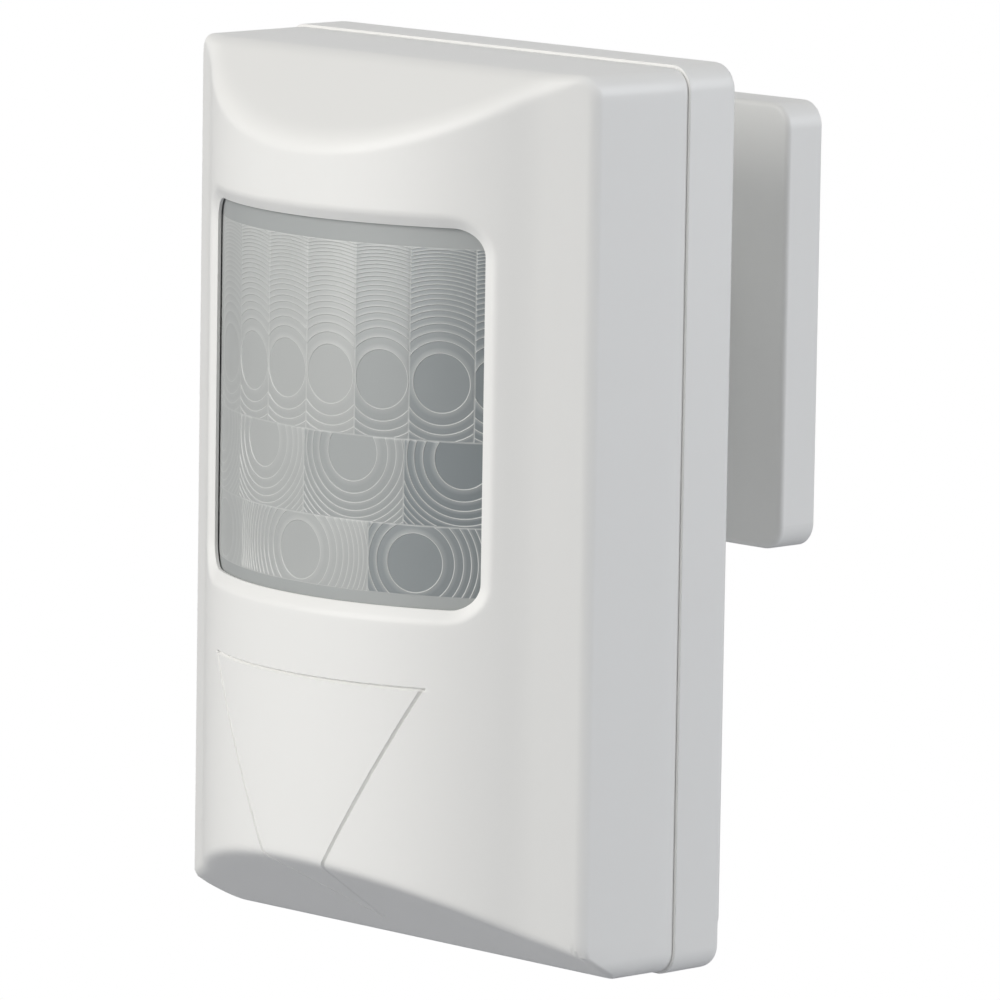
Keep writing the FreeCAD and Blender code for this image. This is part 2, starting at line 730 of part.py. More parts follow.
def make_sensor():
    header = rod("header_disc", "header_radius", "0", "header_front", "header_back", "sensor_z")
    holes = [
        rod(f"header_hole_{i}", "lead_radius", x, "header_front - cut_margin", "header_back + cut_margin", z)
        for i, (x, z) in enumerate(lead_places())
    ]
    finished(cut("header_drilled", header, fuse("header_holes", holes)), "sensor_header")
    can = cut(
        "can_shell",
        rod("can_outer", "can_radius", "0", "can_front", "header_front", "sensor_z"),
        rod("can_inner", "can_radius - can_skin", "0", "can_front + can_skin", "header_front + cut_margin",
            "sensor_z"),
    )
    mouth = box(
        "can_mouth", "-sensor_window_width / 2", "sensor_window_width / 2",
        "can_front - cut_margin", "can_front + 2 * can_skin",
        "sensor_z - sensor_window_height / 2", "sensor_z + sensor_window_height / 2",
    )
    finished(cut("can_opened", can, mouth), "sensor_can")
    pane = box(
        "filter_pane", "-(sensor_window_width + filter_margin) / 2",
        "(sensor_window_width + filter_margin) / 2",
        "can_front + can_skin", "can_front + can_skin + filter_thickness",
        "sensor_z - (sensor_window_height + filter_margin) / 2",
        "sensor_z + (sensor_window_height + filter_margin) / 2",
    )
    finished(pane, "sensor_filter")
    element = box(
        "element_plate", "-sensor_window_width / 2", "sensor_window_width / 2",
        "header_front - 2 * element_thickness", "header_front - element_thickness",
        "sensor_z - sensor_window_height / 2", "sensor_z + sensor_window_height / 2",
    )
    foot = box(
        "element_foot", "-lead_circle / 2", "lead_circle / 2", "header_front - element_thickness",
        "header_front", "sensor_z - lead_circle / 2", "sensor_z + lead_circle / 2",
    )
    finished(fuse("element_solid", [element, foot]), "sensor_element")
    leads = [
        rod(f"lead_{i}", "lead_radius", x, "header_front", "board_back + lead_tail", z)
        for i, (x, z) in enumerate(lead_places())
    ]
    finished(group("lead_set", leads), "sensor_leads")
    shroud = cut(
        "shroud_ring",
        taper("shroud_outer_cone", "shroud_outer - can_skin", "shroud_outer + can_skin", "0",
              "board_face - shroud_height", "board_face", "sensor_z"),
        rod("shroud_bore", "shroud_inner", "0", "board_face - shroud_height - cut_margin",
            "board_face + cut_margin", "sensor_z"),
    )
    finished(shroud, "sensor_shroud")


def make_terminals():
    block = box(
        "terminal_blank", "-terminal_half", "terminal_half", "terminal_face", "board_face",
        "base_z + terminal_low", "base_z + terminal_low + terminal_rise",
    )
    rake = prism(
        "terminal_rake", "YZ_Plane",
        [("terminal_face - cut_margin", "base_z + terminal_low + terminal_rise + cut_margin"),
         ("terminal_face + terminal_well_depth", "base_z + terminal_low + terminal_rise + cut_margin"),
         ("terminal_face - cut_margin", "base_z + terminal_low + terminal_rise - terminal_well_depth / 2")],
        "-terminal_half - cut_margin", "terminal_half + cut_margin",
    )
    wells = []
    screws = []
    z = "base_z + terminal_low + terminal_rise / 2 - terminal_well_gap"
    count = int(value("terminal_count"))
    for i in range(count):
        x = f"(({i} + 0.5) * terminal_pitch - terminal_count * terminal_pitch / 2)"
        floor = "terminal_face + terminal_well_depth"
        wells.append(rod(f"well_{i}", "terminal_screw_radius + terminal_well_gap", x,
                         "terminal_face - cut_margin", floor, z))
        wells.append(box(
            f"wire_mouth_{i}", f"{x} - wire_mouth / 2", f"{x} + wire_mouth / 2",
            f"{floor} + terminal_well_gap", f"{floor} + terminal_well_gap + wire_mouth",
            "base_z + terminal_low - cut_margin", "base_z + terminal_low + wire_mouth_depth",
        ))
        head = rod(f"terminal_head_{i}", "terminal_screw_radius", x, "terminal_face + terminal_screw_sink",
                   floor, z)
        slot = box(
            f"terminal_slot_{i}", f"{x} - terminal_screw_radius - cut_margin",
            f"{x} + terminal_screw_radius + cut_margin", "terminal_face",
            "terminal_face + 2 * terminal_screw_sink", f"{z} - screw_slot / 2", f"{z} + screw_slot / 2",
        )
        screws.append(cut(f"terminal_screw_{i}", head, slot))
    body = cut("terminal_raked", block, rake)
    finished(cut("terminal_body", body, fuse("terminal_wells", wells)), "terminal_block")
    finished(group("terminal_screw_set", screws), "terminal_screws")


def make_tamper_switch():
    side = "tamper_side / 2"
    body = box("switch_blank", f"tamper_x - {side}", f"tamper_x + {side}", "tamper_face", "board_face",
               f"tamper_z - {side}", f"tamper_z + {side}")
    guide = rod("switch_guide", "plunger_radius + plunger_fit", "tamper_x", "tamper_face - cut_margin",
                "plunger_end + plunger_fit", "tamper_z")
    finished(cut("switch_bored", body, guide), "tamper_switch")
    stem = rod("plunger_stem", "plunger_radius", "tamper_x", "plunger_tip", "plunger_end", "tamper_z")
    cap = rod("plunger_cap_disc", "plunger_head", "tamper_x", "plunger_tip", "plunger_tip + plunger_cap",
              "tamper_z")
    finished(fuse("plunger_solid", [stem, cap]), "tamper_plunger")
    finished(coil("spring_coil"), "tamper_spring")


def coil(name):
    """The plunger's compression spring, from the switch's face to the back of the plunger's cap."""
    wire = value("spring_wire")
    radius = value("plunger_radius + spring_gap + spring_wire")
    length = value("tamper_face - plunger_tip - plunger_cap") - 2 * wire - 2 * value("plunger_fit")
    helix = Part.makeHelix(length / value("spring_turns"), length, radius)
    circle = Part.Circle(FreeCAD.Vector(radius, 0, 0), FreeCAD.Vector(0, 1, 0), wire)
    profile = Part.Wire([circle.toShape()])
    solid = Part.Wire(helix.Edges).makePipeShell([profile], True, True)
    spring = doc.addObject("Part::Feature", name)
    spring.Shape = solid
    start = FreeCAD.Vector(value("tamper_x"), value("plunger_tip + plunger_cap + plunger_fit + spring_wire"),
                           value("tamper_z"))
    spring.Placement = FreeCAD.Placement(start, FreeCAD.Rotation(FreeCAD.Vector(1, 0, 0), -90))
    return spring


def make_trimmer():
    x = "-trimmer_x"
    side = "trimmer_side / 2"
    floor = "trimmer_face - rotor_stand + rotor_height"
    body = box("trimmer_blank", f"{x} - {side}", f"{x} + {side}", "trimmer_face", "board_face",
               f"trimmer_z - {side}", f"trimmer_z + {side}")
    recess = rod("trimmer_recess", "rotor_radius + rotor_gap", x, "trimmer_face - cut_margin",
                 f"{floor} + rotor_gap", "trimmer_z")
    finished(cut("trimmer_bored", body, recess), "sensitivity_trimmer")
    rotor = rod("rotor_disc", "rotor_radius", x, "trimmer_face - rotor_stand", floor, "trimmer_z")
    slots = fuse("rotor_slots", [
        box("rotor_slot_long", f"{x} - rotor_radius - rotor_gap", f"{x} + rotor_radius + rotor_gap",
            "trimmer_face - 2 * rotor_stand", "trimmer_face + rotor_stand / 2",
            "trimmer_z - screw_slot / 2", "trimmer_z + screw_slot / 2"),
        box("rotor_slot_short", f"{x} - screw_slot / 2", f"{x} + screw_slot / 2",
            "trimmer_face - 2 * rotor_stand", "trimmer_face + rotor_stand / 2",
            "trimmer_z", "trimmer_z + rotor_radius - rotor_gap"),
    ])
    finished(cut("rotor_slotted", rotor, slots), "trimmer_rotor")


def make_relay_and_capacitors():
    half = "relay_width / 2"
    relay = rounded_block("relay_case", f"relay_x - {half}", f"relay_x + {half}", "base_z + relay_low",
                          "base_z + relay_low + relay_rise", "board_face - relay_depth", "board_face",
                          "filter_margin")
    finished(relay, "alarm_relay")
    cans = []
    for i in range(2):
        x = f"(capacitor_x + {i} * capacitor_spacing)"
        z = "base_z + capacitor_low"
        can = rod(f"capacitor_can_{i}", "capacitor_radius", x, "board_face - capacitor_height",
                  "board_face", z)
        waist = "board_face - 2 * capacitor_groove"
        ring = cut(
            f"capacitor_ring_{i}",
            rod(f"capacitor_ring_outer_{i}", "capacitor_radius + cut_margin", x,
                f"{waist} - 3 * capacitor_groove", f"{waist} - capacitor_groove", z),
            rod(f"capacitor_ring_inner_{i}", "capacitor_radius - capacitor_groove", x,
                f"{waist} - 4 * capacitor_groove", waist, z),
        )
        cans.append(cut(f"capacitor_{i}", can, ring))
    finished(group("capacitor_set", cans), "filter_capacitors")


def make_chip(name, x, z, legs_per_side):
    """A surface-mounted chip lying along Z with gull legs on both long sides."""
    case_back = "board_face - chip_leg / 2"
    case_front = "board_face - chip_height"
    solids = [box(f"{name}_case", f"{x} - chip_width / 2", f"{x} + chip_width / 2", case_front, case_back,
                  f"{z} - chip_length / 2", f"{z} + chip_length / 2")]
    for side in (-1, 1):
        edge = f"({x} + {side} * chip_width / 2)"
        near = f"{edge} - chip_leg_reach * {(1 - side) / 2}"
        far = f"{edge} + chip_leg_reach * {(1 + side) / 2}"
        for i in range(legs_per_side):
            middle = f"({z} + ({i} - {(legs_per_side - 1) / 2}) * chip_pitch)"
            solids.append(box(f"{name}_leg_{side + 1}_{i}", near, far, "board_face - chip_leg",
                              "board_face", f"{middle} - chip_leg / 2", f"{middle} + chip_leg / 2"))
    return fuse(f"{name}_solid", solids)


def make_small_parts():
    row = "sensor_z + chip_offset"
    finished(make_chip("amplifier", "-chip_x", row, 7), "amplifier_chip")
    finished(make_chip("controller", "chip_x", row, 7), "control_chip")
    rows = (("chip_resistors", "resistor_offset", 9), ("ceramic_capacitors", "ceramic_offset", 7))
    for label, offset, count in rows:
        pieces = []
        for i in range(count):
            x = f"(({i} - {(count - 1) / 2}) * chip_component_pitch)"
            pieces.append(box(
                f"{label}_{i}", f"{x} - chip_component_width / 2", f"{x} + chip_component_width / 2",
                "board_face - chip_component_height", "board_face",
                f"sensor_z + {offset} - chip_component_length / 2",
                f"sensor_z + {offset} + chip_component_length / 2",
            ))
        finished(group(f"{label}_set", pieces), label)
    z = "sensor_z + led_offset"
    lamp = [
        rod("led_body", "led_radius", "led_x", "board_face - led_height + led_radius", "board_face", z),
        ball("led_dome", "led_radius", "led_x", "board_face - led_height + led_radius", z),
        rod("led_flange", "led_radius + led_rim", "led_x", "board_face - 2 * led_rim", "board_face", z),
    ]
    finished(fuse("led_solid", lamp), "status_led")
    pins = []
    caps = []
    pin_half = "jumper_pin / 2"
    base_half = "jumper_base / 2"
    base_face = "board_face - jumper_base"
    for i in range(2):
        centre = f"(sensor_z + jumper_offset - {i} * jumper_spacing)"
        solids = [box(f"jumper_foot_{i}", "jumper_x - jumper_pitch", "jumper_x + jumper_pitch", base_face,
                      "board_face", f"{centre} - {base_half}", f"{centre} + {base_half}")]
        through = []
        for side in (-1, 1):
            x = f"(jumper_x + {side} * jumper_pitch / 2)"
            solids.append(box(f"jumper_pin_{i}_{side + 1}", f"{x} - {pin_half}", f"{x} + {pin_half}",
                              "board_face - jumper_pin_height", base_face, f"{centre} - {pin_half}",
                              f"{centre} + {pin_half}"))
            through.append(box(f"jumper_through_{i}_{side + 1}", f"{x} - {pin_half}", f"{x} + {pin_half}",
                               f"{base_face} - jumper_cap_height - cut_margin", f"{base_face} + cut_margin",
                               f"{centre} - {pin_half}", f"{centre} + {pin_half}"))
        pins.append(fuse(f"jumper_header_{i}", solids))
        shell = box(f"jumper_shell_{i}", "jumper_x - jumper_pitch + jumper_wall / 4",
                    "jumper_x + jumper_pitch - jumper_wall / 4",
                    f"{base_face} - jumper_cap_height", base_face,
                    f"{centre} - {base_half} + jumper_wall / 4", f"{centre} + {base_half} - jumper_wall / 4")
        caps.append(cut(f"jumper_cap_{i}", shell, fuse(f"jumper_holes_{i}", through)))
    finished(group("jumper_header_set", pins), "jumper_pins")
    finished(group("jumper_cap_set", caps), "jumper_caps")


def make_bracket():
    plate = rounded_block("plate_blank", "-plate_width / 2", "plate_width / 2", "-plate_height / 2",
                          "plate_height / 2", "-plate_depth", "0", "plate_round",
                          "-plate_depth", "plate_edge_round")
    hollow = rounded_block("plate_hollow", "-(plate_width / 2 - plate_wall)", "plate_width / 2 - plate_wall",
                           "-(plate_height / 2 - plate_wall)", "plate_height / 2 - plate_wall",
                           "-(plate_depth - plate_wall)", "cut_margin", "plate_round - plate_wall")
    solids = [cut("plate_shell", plate, hollow)]
    for side in (-1, 1):
        x = f"{side} * boss_radius * 2"
        solids.append(box(f"plate_rib_{side + 1}", f"{x} - rib_thickness / 2", f"{x} + rib_thickness / 2",
                          "-(plate_depth - plate_wall / 2)", "0", "-(plate_height / 2 - plate_wall / 2)",
                          "plate_height / 2 - plate_wall / 2"))
    solids.append(rod("plate_centre", "boss_radius", "0", "-(plate_depth - plate_wall / 2)", "0", "0"))
    holes = [
        rod("stud_hole", "stud_screw_radius", "0", "-plate_depth - cut_margin", "cut_margin", "0"),
        rod("stud_head_hole", "stud_screw_head + screw_gap", "0", "-stud_screw_cap - screw_gap",
            "cut_margin", "0"),
    ]
    for side in (-1, 1):
        z = f"({side} * wall_screw_spacing / 2)"
        solids.append(rod(f"wall_boss_{side + 1}", "boss_radius", "0", "-(plate_depth - plate_wall / 2)",
                          "0", z))
        holes.append(rod(f"wall_hole_{side + 1}", "wall_screw_radius", "0", "-plate_depth - cut_margin",
                         "cut_margin", z))
        holes.append(taper(f"wall_sink_{side + 1}", "wall_screw_head", "wall_screw_radius", "0",
                           "-plate_depth", "-plate_depth + wall_screw_sink", z))
    finished(cut("plate_drilled", fuse("plate_solid", solids), fuse("plate_holes", holes)), "wall_bracket")


def make_ball_joint():
    stud = fuse("stud_blank", [
        ball("stud_ball", "ball_radius", "0", "ball_y", "0"),
        rod("stud_stem", "stem_radius", "0", "ball_y", "-plate_depth", "0"),
        rod("stud_foot", "foot_radius", "0", "-plate_depth - foot_thickness", "-plate_depth", "0"),
    ])
    pilot = rod("stud_pilot", "stud_screw_radius", "0", "-stud_screw_cap - stud_screw_length",
                "cut_margin", "0")
    finished(cut("stud_drilled", stud, pilot), "ball_stud")
    screw = fuse("stud_screw_solid", [
        rod("stud_screw_shank", "stud_screw_radius", "0", "-stud_screw_cap - stud_screw_length + screw_gap",
            "-stud_screw_cap", "0"),
        rod("stud_screw_cap_disc", "stud_screw_head", "0", "-stud_screw_cap", "-screw_gap", "0"),
    ])
    recess = box("stud_screw_slot", "-stud_screw_head - cut_margin", "stud_screw_head + cut_margin",
                 "-stud_screw_cap / 2", "cut_margin", "-screw_slot / 2", "screw_slot / 2")
    finished(cut("stud_screw_slotted", screw, recess), "stud_screw")

    mouth = box("liner_mouth", "-2 * liner_outer", "2 * liner_outer", "ball_y + liner_reach",
                "ball_y + 2 * liner_outer", "-2 * liner_outer", "2 * liner_outer")
    cup = cut("liner_cup", ball("liner_outer_ball", "liner_outer", "0", "ball_y", "0"),
              ball("liner_inner_ball", "liner_inner", "0", "ball_y", "0"))
    finished(cut("liner_opened", cup, mouth), "socket_liner")

    for label, y0, y1 in (("socket_housing", "back_y", "ball_y"), ("socket_cap", "ball_y", "socket_face")):
        solid = fuse(label + "_blank", [
            rod(label + "_round", "socket_radius", "0", y0, y1, "0"),
            box(label + "_ears", "-ear_half_width", "ear_half_width", y0, y1, "-ear_half_height",
                "ear_half_height"),
        ])
        holes = [ball(label + "_cavity", "cavity_radius", "0", "ball_y", "0")]
        for side in (-1, 1):
            x = f"{side} * socket_screw_x"
            holes.append(rod(f"{label}_hole_{side + 1}", "socket_screw_radius", x,
                             f"{y0} - cut_margin", f"{y1} + cut_margin", "0"))
            if label == "socket_cap":
                holes.append(rod(f"socket_sink_{side + 1}", "socket_screw_head + screw_gap", x,
                                 "socket_face - socket_screw_cap", "socket_face + cut_margin", "0"))
        finished(cut(label + "_drilled", solid, fuse(label + "_holes", holes)), label)
    screws = []
    for side in (-1, 1):
        x = f"{side} * socket_screw_x"
        blank = fuse(f"socket_screw_blank_{side + 1}", [
            rod(f"socket_shank_{side + 1}", "socket_screw_radius", x,
                "floor_y - socket_boss_height + screw_gap", "socket_face - socket_screw_cap", "0"),
            rod(f"socket_head_{side + 1}", "socket_screw_head", x, "socket_face - socket_screw_cap",
                "socket_face", "0"),
        ])
        slot = box(f"socket_slot_{side + 1}", f"{x} - socket_screw_head - cut_margin",
                   f"{x} + socket_screw_head + cut_margin", "socket_face - socket_screw_cap / 2",
                   "socket_face + socket_screw_cap", "-screw_slot / 2", "screw_slot / 2")
        screws.append(cut(f"socket_screw_{side + 1}", blank, slot))
    finished(group("socket_screw_set", screws), "socket_screws")


def check_model():
    """Stops if any object failed or any sub-part is empty or broken."""
    doc.recompute()
    for obj in doc.Objects:
        if "Invalid" in obj.State or "Error" in obj.State:
            raise RuntimeError(f"{obj.Name} ({obj.Label}) did not build: {obj.State}")
    for obj in nodes:
        if obj.Shape.isNull() or not obj.Shape.isValid() or not obj.Shape.Solids:
            raise RuntimeError(f"{obj.Label} is empty or not valid")


make_front_cover()
make_lens()
make_rear_cover()
make_board()
make_sensor()
make_terminals()
make_tamper_switch()
make_trimmer()
make_relay_and_capacitors()
make_small_parts()
make_bracket()
make_ball_joint()
check_model()

os.makedirs("parts", exist_ok=True)
for node in nodes:
    node.Shape.exportStep(f"parts/{node.Label}.step")
    print(f"{node.Label:24s} solids {len(node.Shape.Solids):2d}  volume {node.Shape.Volume:10.2f}")
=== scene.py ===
"""Looks of the wall-mounted motion sensor: moulded covers, faceted lens and circuit, on its ball bracket.

Lengths are in millimetres until a mesh is made, then metres. Heights on the sensor head are counted up
from the head's bottom, depths back from the front cover's outer front edge.
"""
import math

import bmesh
import bpy
import numpy as np
from mathutils import Matrix, Vector


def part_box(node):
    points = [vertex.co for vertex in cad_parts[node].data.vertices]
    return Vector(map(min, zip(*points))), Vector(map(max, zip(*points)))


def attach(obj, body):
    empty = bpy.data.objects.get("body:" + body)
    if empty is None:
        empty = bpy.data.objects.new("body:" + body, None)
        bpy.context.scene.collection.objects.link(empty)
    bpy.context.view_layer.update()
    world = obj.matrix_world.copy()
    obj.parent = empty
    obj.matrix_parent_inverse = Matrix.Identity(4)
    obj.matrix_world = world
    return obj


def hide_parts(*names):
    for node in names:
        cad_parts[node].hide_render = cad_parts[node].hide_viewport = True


MM = 0.001

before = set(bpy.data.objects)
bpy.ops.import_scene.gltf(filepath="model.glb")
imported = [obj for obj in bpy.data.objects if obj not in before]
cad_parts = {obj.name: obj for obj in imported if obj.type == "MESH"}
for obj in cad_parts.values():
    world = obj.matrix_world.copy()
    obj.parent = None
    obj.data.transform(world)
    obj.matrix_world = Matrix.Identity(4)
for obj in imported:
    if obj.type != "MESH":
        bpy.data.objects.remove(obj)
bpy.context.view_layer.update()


def node_box(name):
    """A node's box in millimetres, as two arrays."""
    low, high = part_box(name)
    return np.array(low) / MM, np.array(high) / MM


cover_low, cover_high = node_box("front_cover")
rear_low = node_box("rear_cover")[0]
lens_low, lens_high = node_box("fresnel_lens")
retainer_low, retainer_high = node_box("lens_retainer")

# the front cover
HALF = cover_high[0]
HEIGHT = cover_high[2] - cover_low[2]
BASE_Z = cover_low[2]
TONGUE_LENGTH = 5.0     # the rear cover's tongues reach this far in front of the seam
SEAM_Y = rear_low[1] + TONGUE_LENGTH
WALL = 2.0
COVER_DEPTH = 13.4      # outer front edge back to the seam
CORNER_ROUND = 2.4      # seen from the front
EDGE_ROUND = 0.9        # round the outer front edge
SEAM_ROUND = 0.12
SEAM_GAP = 0.03         # the cover ends this far in front of the seam
DRAFT = 0.25            # each side wall leans in this much from the seam to its front
# the two flanges, the bulge between them and the slopes that cut it off above and below
FLANGE_TILT = math.radians(34.0)
CREASE_X = 24.8
CREASE_DEPTH = -3.8
CREASE_BLEND = 1.2
BULGE_FRONT = 13.7
TOP_SLOPE = math.radians(35.0)
TOP_START = 1.64
TOP_BLEND = 2.2
BOTTOM_SLOPE = math.radians(29.9)
BOTTOM_START = 5.87
BOTTOM_BLEND = 1.1
FRONT_Y = SEAM_Y - COVER_DEPTH
SAGITTA = BULGE_FRONT + CREASE_DEPTH
BULGE_RADIUS = (CREASE_X**2 + SAGITTA**2) / (2 * SAGITTA)
BULGE_CENTRE = BULGE_RADIUS - BULGE_FRONT
# the engraved triangle under the window
MARK_HALF = 16.05
MARK_HIGH = 31.3
MARK_LOW = 3.2
GROOVE_WIDTH = 0.42
GROOVE_DEPTH = 0.36
# the window and the lens behind it
WINDOW_HALF = 20.85
WINDOW_LOW = 39.8
WINDOW_HIGH = 80.4
WINDOW_ROUND = 3.0
RIM_WIDTH = 1.7         # bevelled band round the window
RIM_DROP = 0.9          # how deep the bevel is at the window
RIM_BLEND = 0.35        # share of the bevel that its soft outer edge takes
LENS_SINK = 1.2         # depth of the lens's face behind the bulge's surface
SEAT_FIT = 0.1
LENS_RADIUS = BULGE_RADIUS - LENS_SINK
LENS_THICKNESS = 0.45
LENS_HALF = lens_high[0]
LENS_LOW = lens_low[2] - BASE_Z
LENS_HIGH = lens_high[2] - BASE_Z
SEAT_LOW = retainer_low[2] - BASE_Z - SEAT_FIT
SEAT_HIGH = retainer_high[2] - BASE_Z + SEAT_FIT


# ---------------------------------------------------------------- shader building

class Shader:
    """A node tree with short ways to add and join nodes."""

    def __init__(self, tree):
        self.tree = tree

    def add(self, kind, **settings):
        """A new node; a setting is a property of the node or else the value of an input."""
        node = self.tree.nodes.new(kind)
        for key, setting in settings.items():
            if key in ("attribute_name", "wave_type", "bands_direction"):
                setattr(node, key, setting)
            else:
                node.inputs[key].default_value = setting
        return node

    def join(self, source, target):
        self.tree.links.new(source, target)

    def feed(self, given, target):
        """Joins a socket to the target, or sets the target to a plain value."""
        if isinstance(given, bpy.types.NodeSocket):
            self.join(given, target)
        else:
            target.default_value = given

    def maths(self, operation, a, b, clamp=False):
        node = self.add("ShaderNodeMath")
        node.operation = operation
        node.use_clamp = clamp
        self.feed(a, node.inputs[0])
        self.feed(b, node.inputs[1])
        return node.outputs[0]

    def shade(self, colour, factor):
        """The colour times the factor."""
        node = self.add("ShaderNodeVectorMath")
        node.operation = "SCALE"
        self.join(colour, node.inputs[0])
        self.join(factor, node.inputs["Scale"])
        return node.outputs[0]

    def noise(self, place, scale, detail, rough):
        node = self.add("ShaderNodeTexNoise", Detail=detail, Roughness=rough)
        self.feed(scale, node.inputs["Scale"])
        self.join(place, node.inputs["Vector"])
        return node.outputs["Fac"]

    def around(self, mask, reach):
        """A mask about 0.5 turned into one about 0, times the reach."""
        return self.maths("MULTIPLY", self.maths("SUBTRACT", mask, 0.5), reach)

    def spread(self, source, low, high, to_low=0.0, to_high=1.0):
        node = self.add("ShaderNodeMapRange")
        for key, number in (("From Min", low), ("From Max", high), ("To Min", to_low), ("To Max", to_high)):
            node.inputs[key].default_value = number
        self.join(source, node.inputs["Value"])
        return node.outputs["Result"]

    def mix(self, share, a, b):
        node = self.add("ShaderNodeMix")
        node.data_type = "RGBA"
        self.join(share, node.inputs["Factor"])
        self.feed(a, node.inputs[6])
        self.feed(b, node.inputs[7])
        return node.outputs[2]


def new_group(name, inputs, outputs):
    """A shader node group with named sockets; inputs are (name, kind, default)."""
    tree = bpy.data.node_groups.new(name, "ShaderNodeTree")
    for label, kind, default in inputs:
        socket = tree.interface.new_socket(label, in_out="INPUT", socket_type=kind)
        socket.default_value = default
    for label, kind in outputs:
        tree.interface.new_socket(label, in_out="OUTPUT", socket_type=kind)
    source = tree.nodes.new("NodeGroupInput")
    sink = tree.nodes.new("NodeGroupOutput")
    return tree, Shader(tree), source.outputs, sink.inputs


FLOAT, COLOUR = "NodeSocketFloat", "NodeSocketColor"


def moulded_surface_group():
    """Moulded plastic: faint clouding of the tint, spark-eroded grain and slow flow waviness."""
    tree, s, given, out = new_group(
        "moulded_surface",
        [("Tint", COLOUR, (0.8, 0.8, 0.8, 1)), ("Clouding", FLOAT, 0.02), ("Grain size", FLOAT, 1500.0),
         ("Sheen break-up", FLOAT, 0.05), ("Roughness", FLOAT, 0.4)],
        [("Colour", COLOUR), ("Roughness", FLOAT), ("Height", FLOAT)],
    )
    place = s.add("ShaderNodeTexCoord").outputs["Object"]
    cloud = s.noise(place, 38.0, 4.0, 0.55)
    s.join(s.shade(given["Tint"], s.maths("ADD", s.around(cloud, given["Clouding"]), 1.0)), out["Colour"])
    broken = s.around(s.noise(place, 120.0, 5.0, 0.6), given["Sheen break-up"])
    s.join(s.maths("ADD", given["Roughness"], broken, clamp=True), out["Roughness"])
    grain = s.maths("MULTIPLY", s.noise(place, given["Grain size"], 2.0, 0.5), 0.35)
    flow = s.maths("MULTIPLY", s.noise(place, 55.0, 1.0, 0.4), 0.65)
    s.join(s.maths("ADD", grain, flow), out["Height"])
    return tree


def handling_group():
    """Wear from use: a mask of the odd speck, between 0 and 1."""
    tree, s, given, out = new_group(
        "handling",
        [("Speck size", FLOAT, 260.0), ("Speck amount", FLOAT, 0.02)],
        [("Specks", FLOAT)],
    )
    place = s.add("ShaderNodeTexCoord").outputs["Object"]
    cells = s.add("ShaderNodeTexVoronoi")
    s.join(place, cells.inputs["Vector"])
    s.join(given["Speck size"], cells.inputs["Scale"])
    near = s.spread(cells.outputs["Distance"], 0.05, 0.12, 1.0, 0.0)
    pick = s.add("ShaderNodeSeparateColor")
    s.join(cells.outputs["Color"], pick.inputs["Color"])
    chosen = s.maths("LESS_THAN", pick.outputs["Red"], given["Speck amount"])
    s.join(s.maths("MULTIPLY", near, chosen, clamp=True), out["Specks"])
    return tree


def plated_group():
    """Plated or turned metal: fine scratches and a slightly patchy tone."""
    tree, s, given, out = new_group(
        "plated_metal",
        [("Tint", COLOUR, (0.7, 0.7, 0.68, 1)), ("Roughness", FLOAT, 0.3), ("Scratches", FLOAT, 0.2)],
        [("Colour", COLOUR), ("Roughness", FLOAT), ("Height", FLOAT)],
    )
    place = s.add("ShaderNodeTexCoord").outputs["Object"]
    patchy = s.noise(place, 400.0, 3.0, 0.5)
    s.join(s.shade(given["Tint"], s.maths("ADD", s.around(patchy, 0.25), 1.0)), out["Colour"])
    stretch = s.add("ShaderNodeMapping", Scale=(1.0, 18.0, 1.0))
    s.join(place, stretch.inputs["Vector"])
    scratch = s.noise(stretch.outputs[0], 900.0, 4.0, 0.7)
    rough = s.maths("ADD", given["Roughness"], s.around(scratch, given["Scratches"]), clamp=True)
    s.join(rough, out["Roughness"])
    s.join(scratch, out["Height"])
    return tree


MOULDED = moulded_surface_group()
HANDLING = handling_group()
PLATED = plated_group()


def place_group(s, tree, **settings):
    """A group in a material, with its own values; an underscore stands for a space in an input's name."""
    node = s.add("ShaderNodeGroup")
    node.node_tree = tree
    for key, setting in settings.items():
        node.inputs[key.replace("_", " ")].default_value = setting
    return node


def new_material(name):
    """A material, the means to build it, and the inputs of its main shader."""
    material = bpy.data.materials.new(name)
    material.use_nodes = True
    s = Shader(material.node_tree)
    return material, s, material.node_tree.nodes["Principled BSDF"].inputs


def bump(s, height, strength, distance_mm):
    node = s.add("ShaderNodeBump", Strength=strength, Distance=distance_mm * MM)
    s.join(height, node.inputs["Height"])
    return node.outputs["Normal"]


def plastic(name, tint, roughness=0.4, clouding=0.03, grain=1600.0, relief=0.012, specks=0.0,
            speck_tint=(0.35, 0.33, 0.3, 1), coat=0.0):
    """Moulded plastic in one tint, with its grain, a little clouding and, where asked, dark specks."""
    material, s, shader = new_material(name)
    skin = place_group(s, MOULDED, Tint=tint, Clouding=clouding, Grain_size=grain, Roughness=roughness)
    colour = skin.outputs["Colour"]
    if specks:
        use = place_group(s, HANDLING, Speck_amount=specks)
        colour = s.mix(s.maths("MULTIPLY", use.outputs["Specks"], 0.6), colour, speck_tint)
    s.join(colour, shader["Base Color"])
    s.join(skin.outputs["Roughness"], shader["Roughness"])
    s.join(bump(s, skin.outputs["Height"], 0.6, relief), shader["Normal"])
    shader["IOR"].default_value = 1.5
    shader["Coat Weight"].default_value = coat
    shader["Coat Roughness"].default_value = 0.15
    return material


def metal(name, tint, roughness, scratches):
    """Plated or bare metal in one tint."""
    material, s, shader = new_material(name)
    skin = place_group(s, PLATED, Tint=tint, Roughness=roughness, Scratches=scratches)
    s.join(skin.outputs["Colour"], shader["Base Color"])
    s.join(skin.outputs["Roughness"], shader["Roughness"])
    s.join(bump(s, skin.outputs["Height"], 0.4, 0.01), shader["Normal"])
    shader["Metallic"].default_value = 1.0
    return material


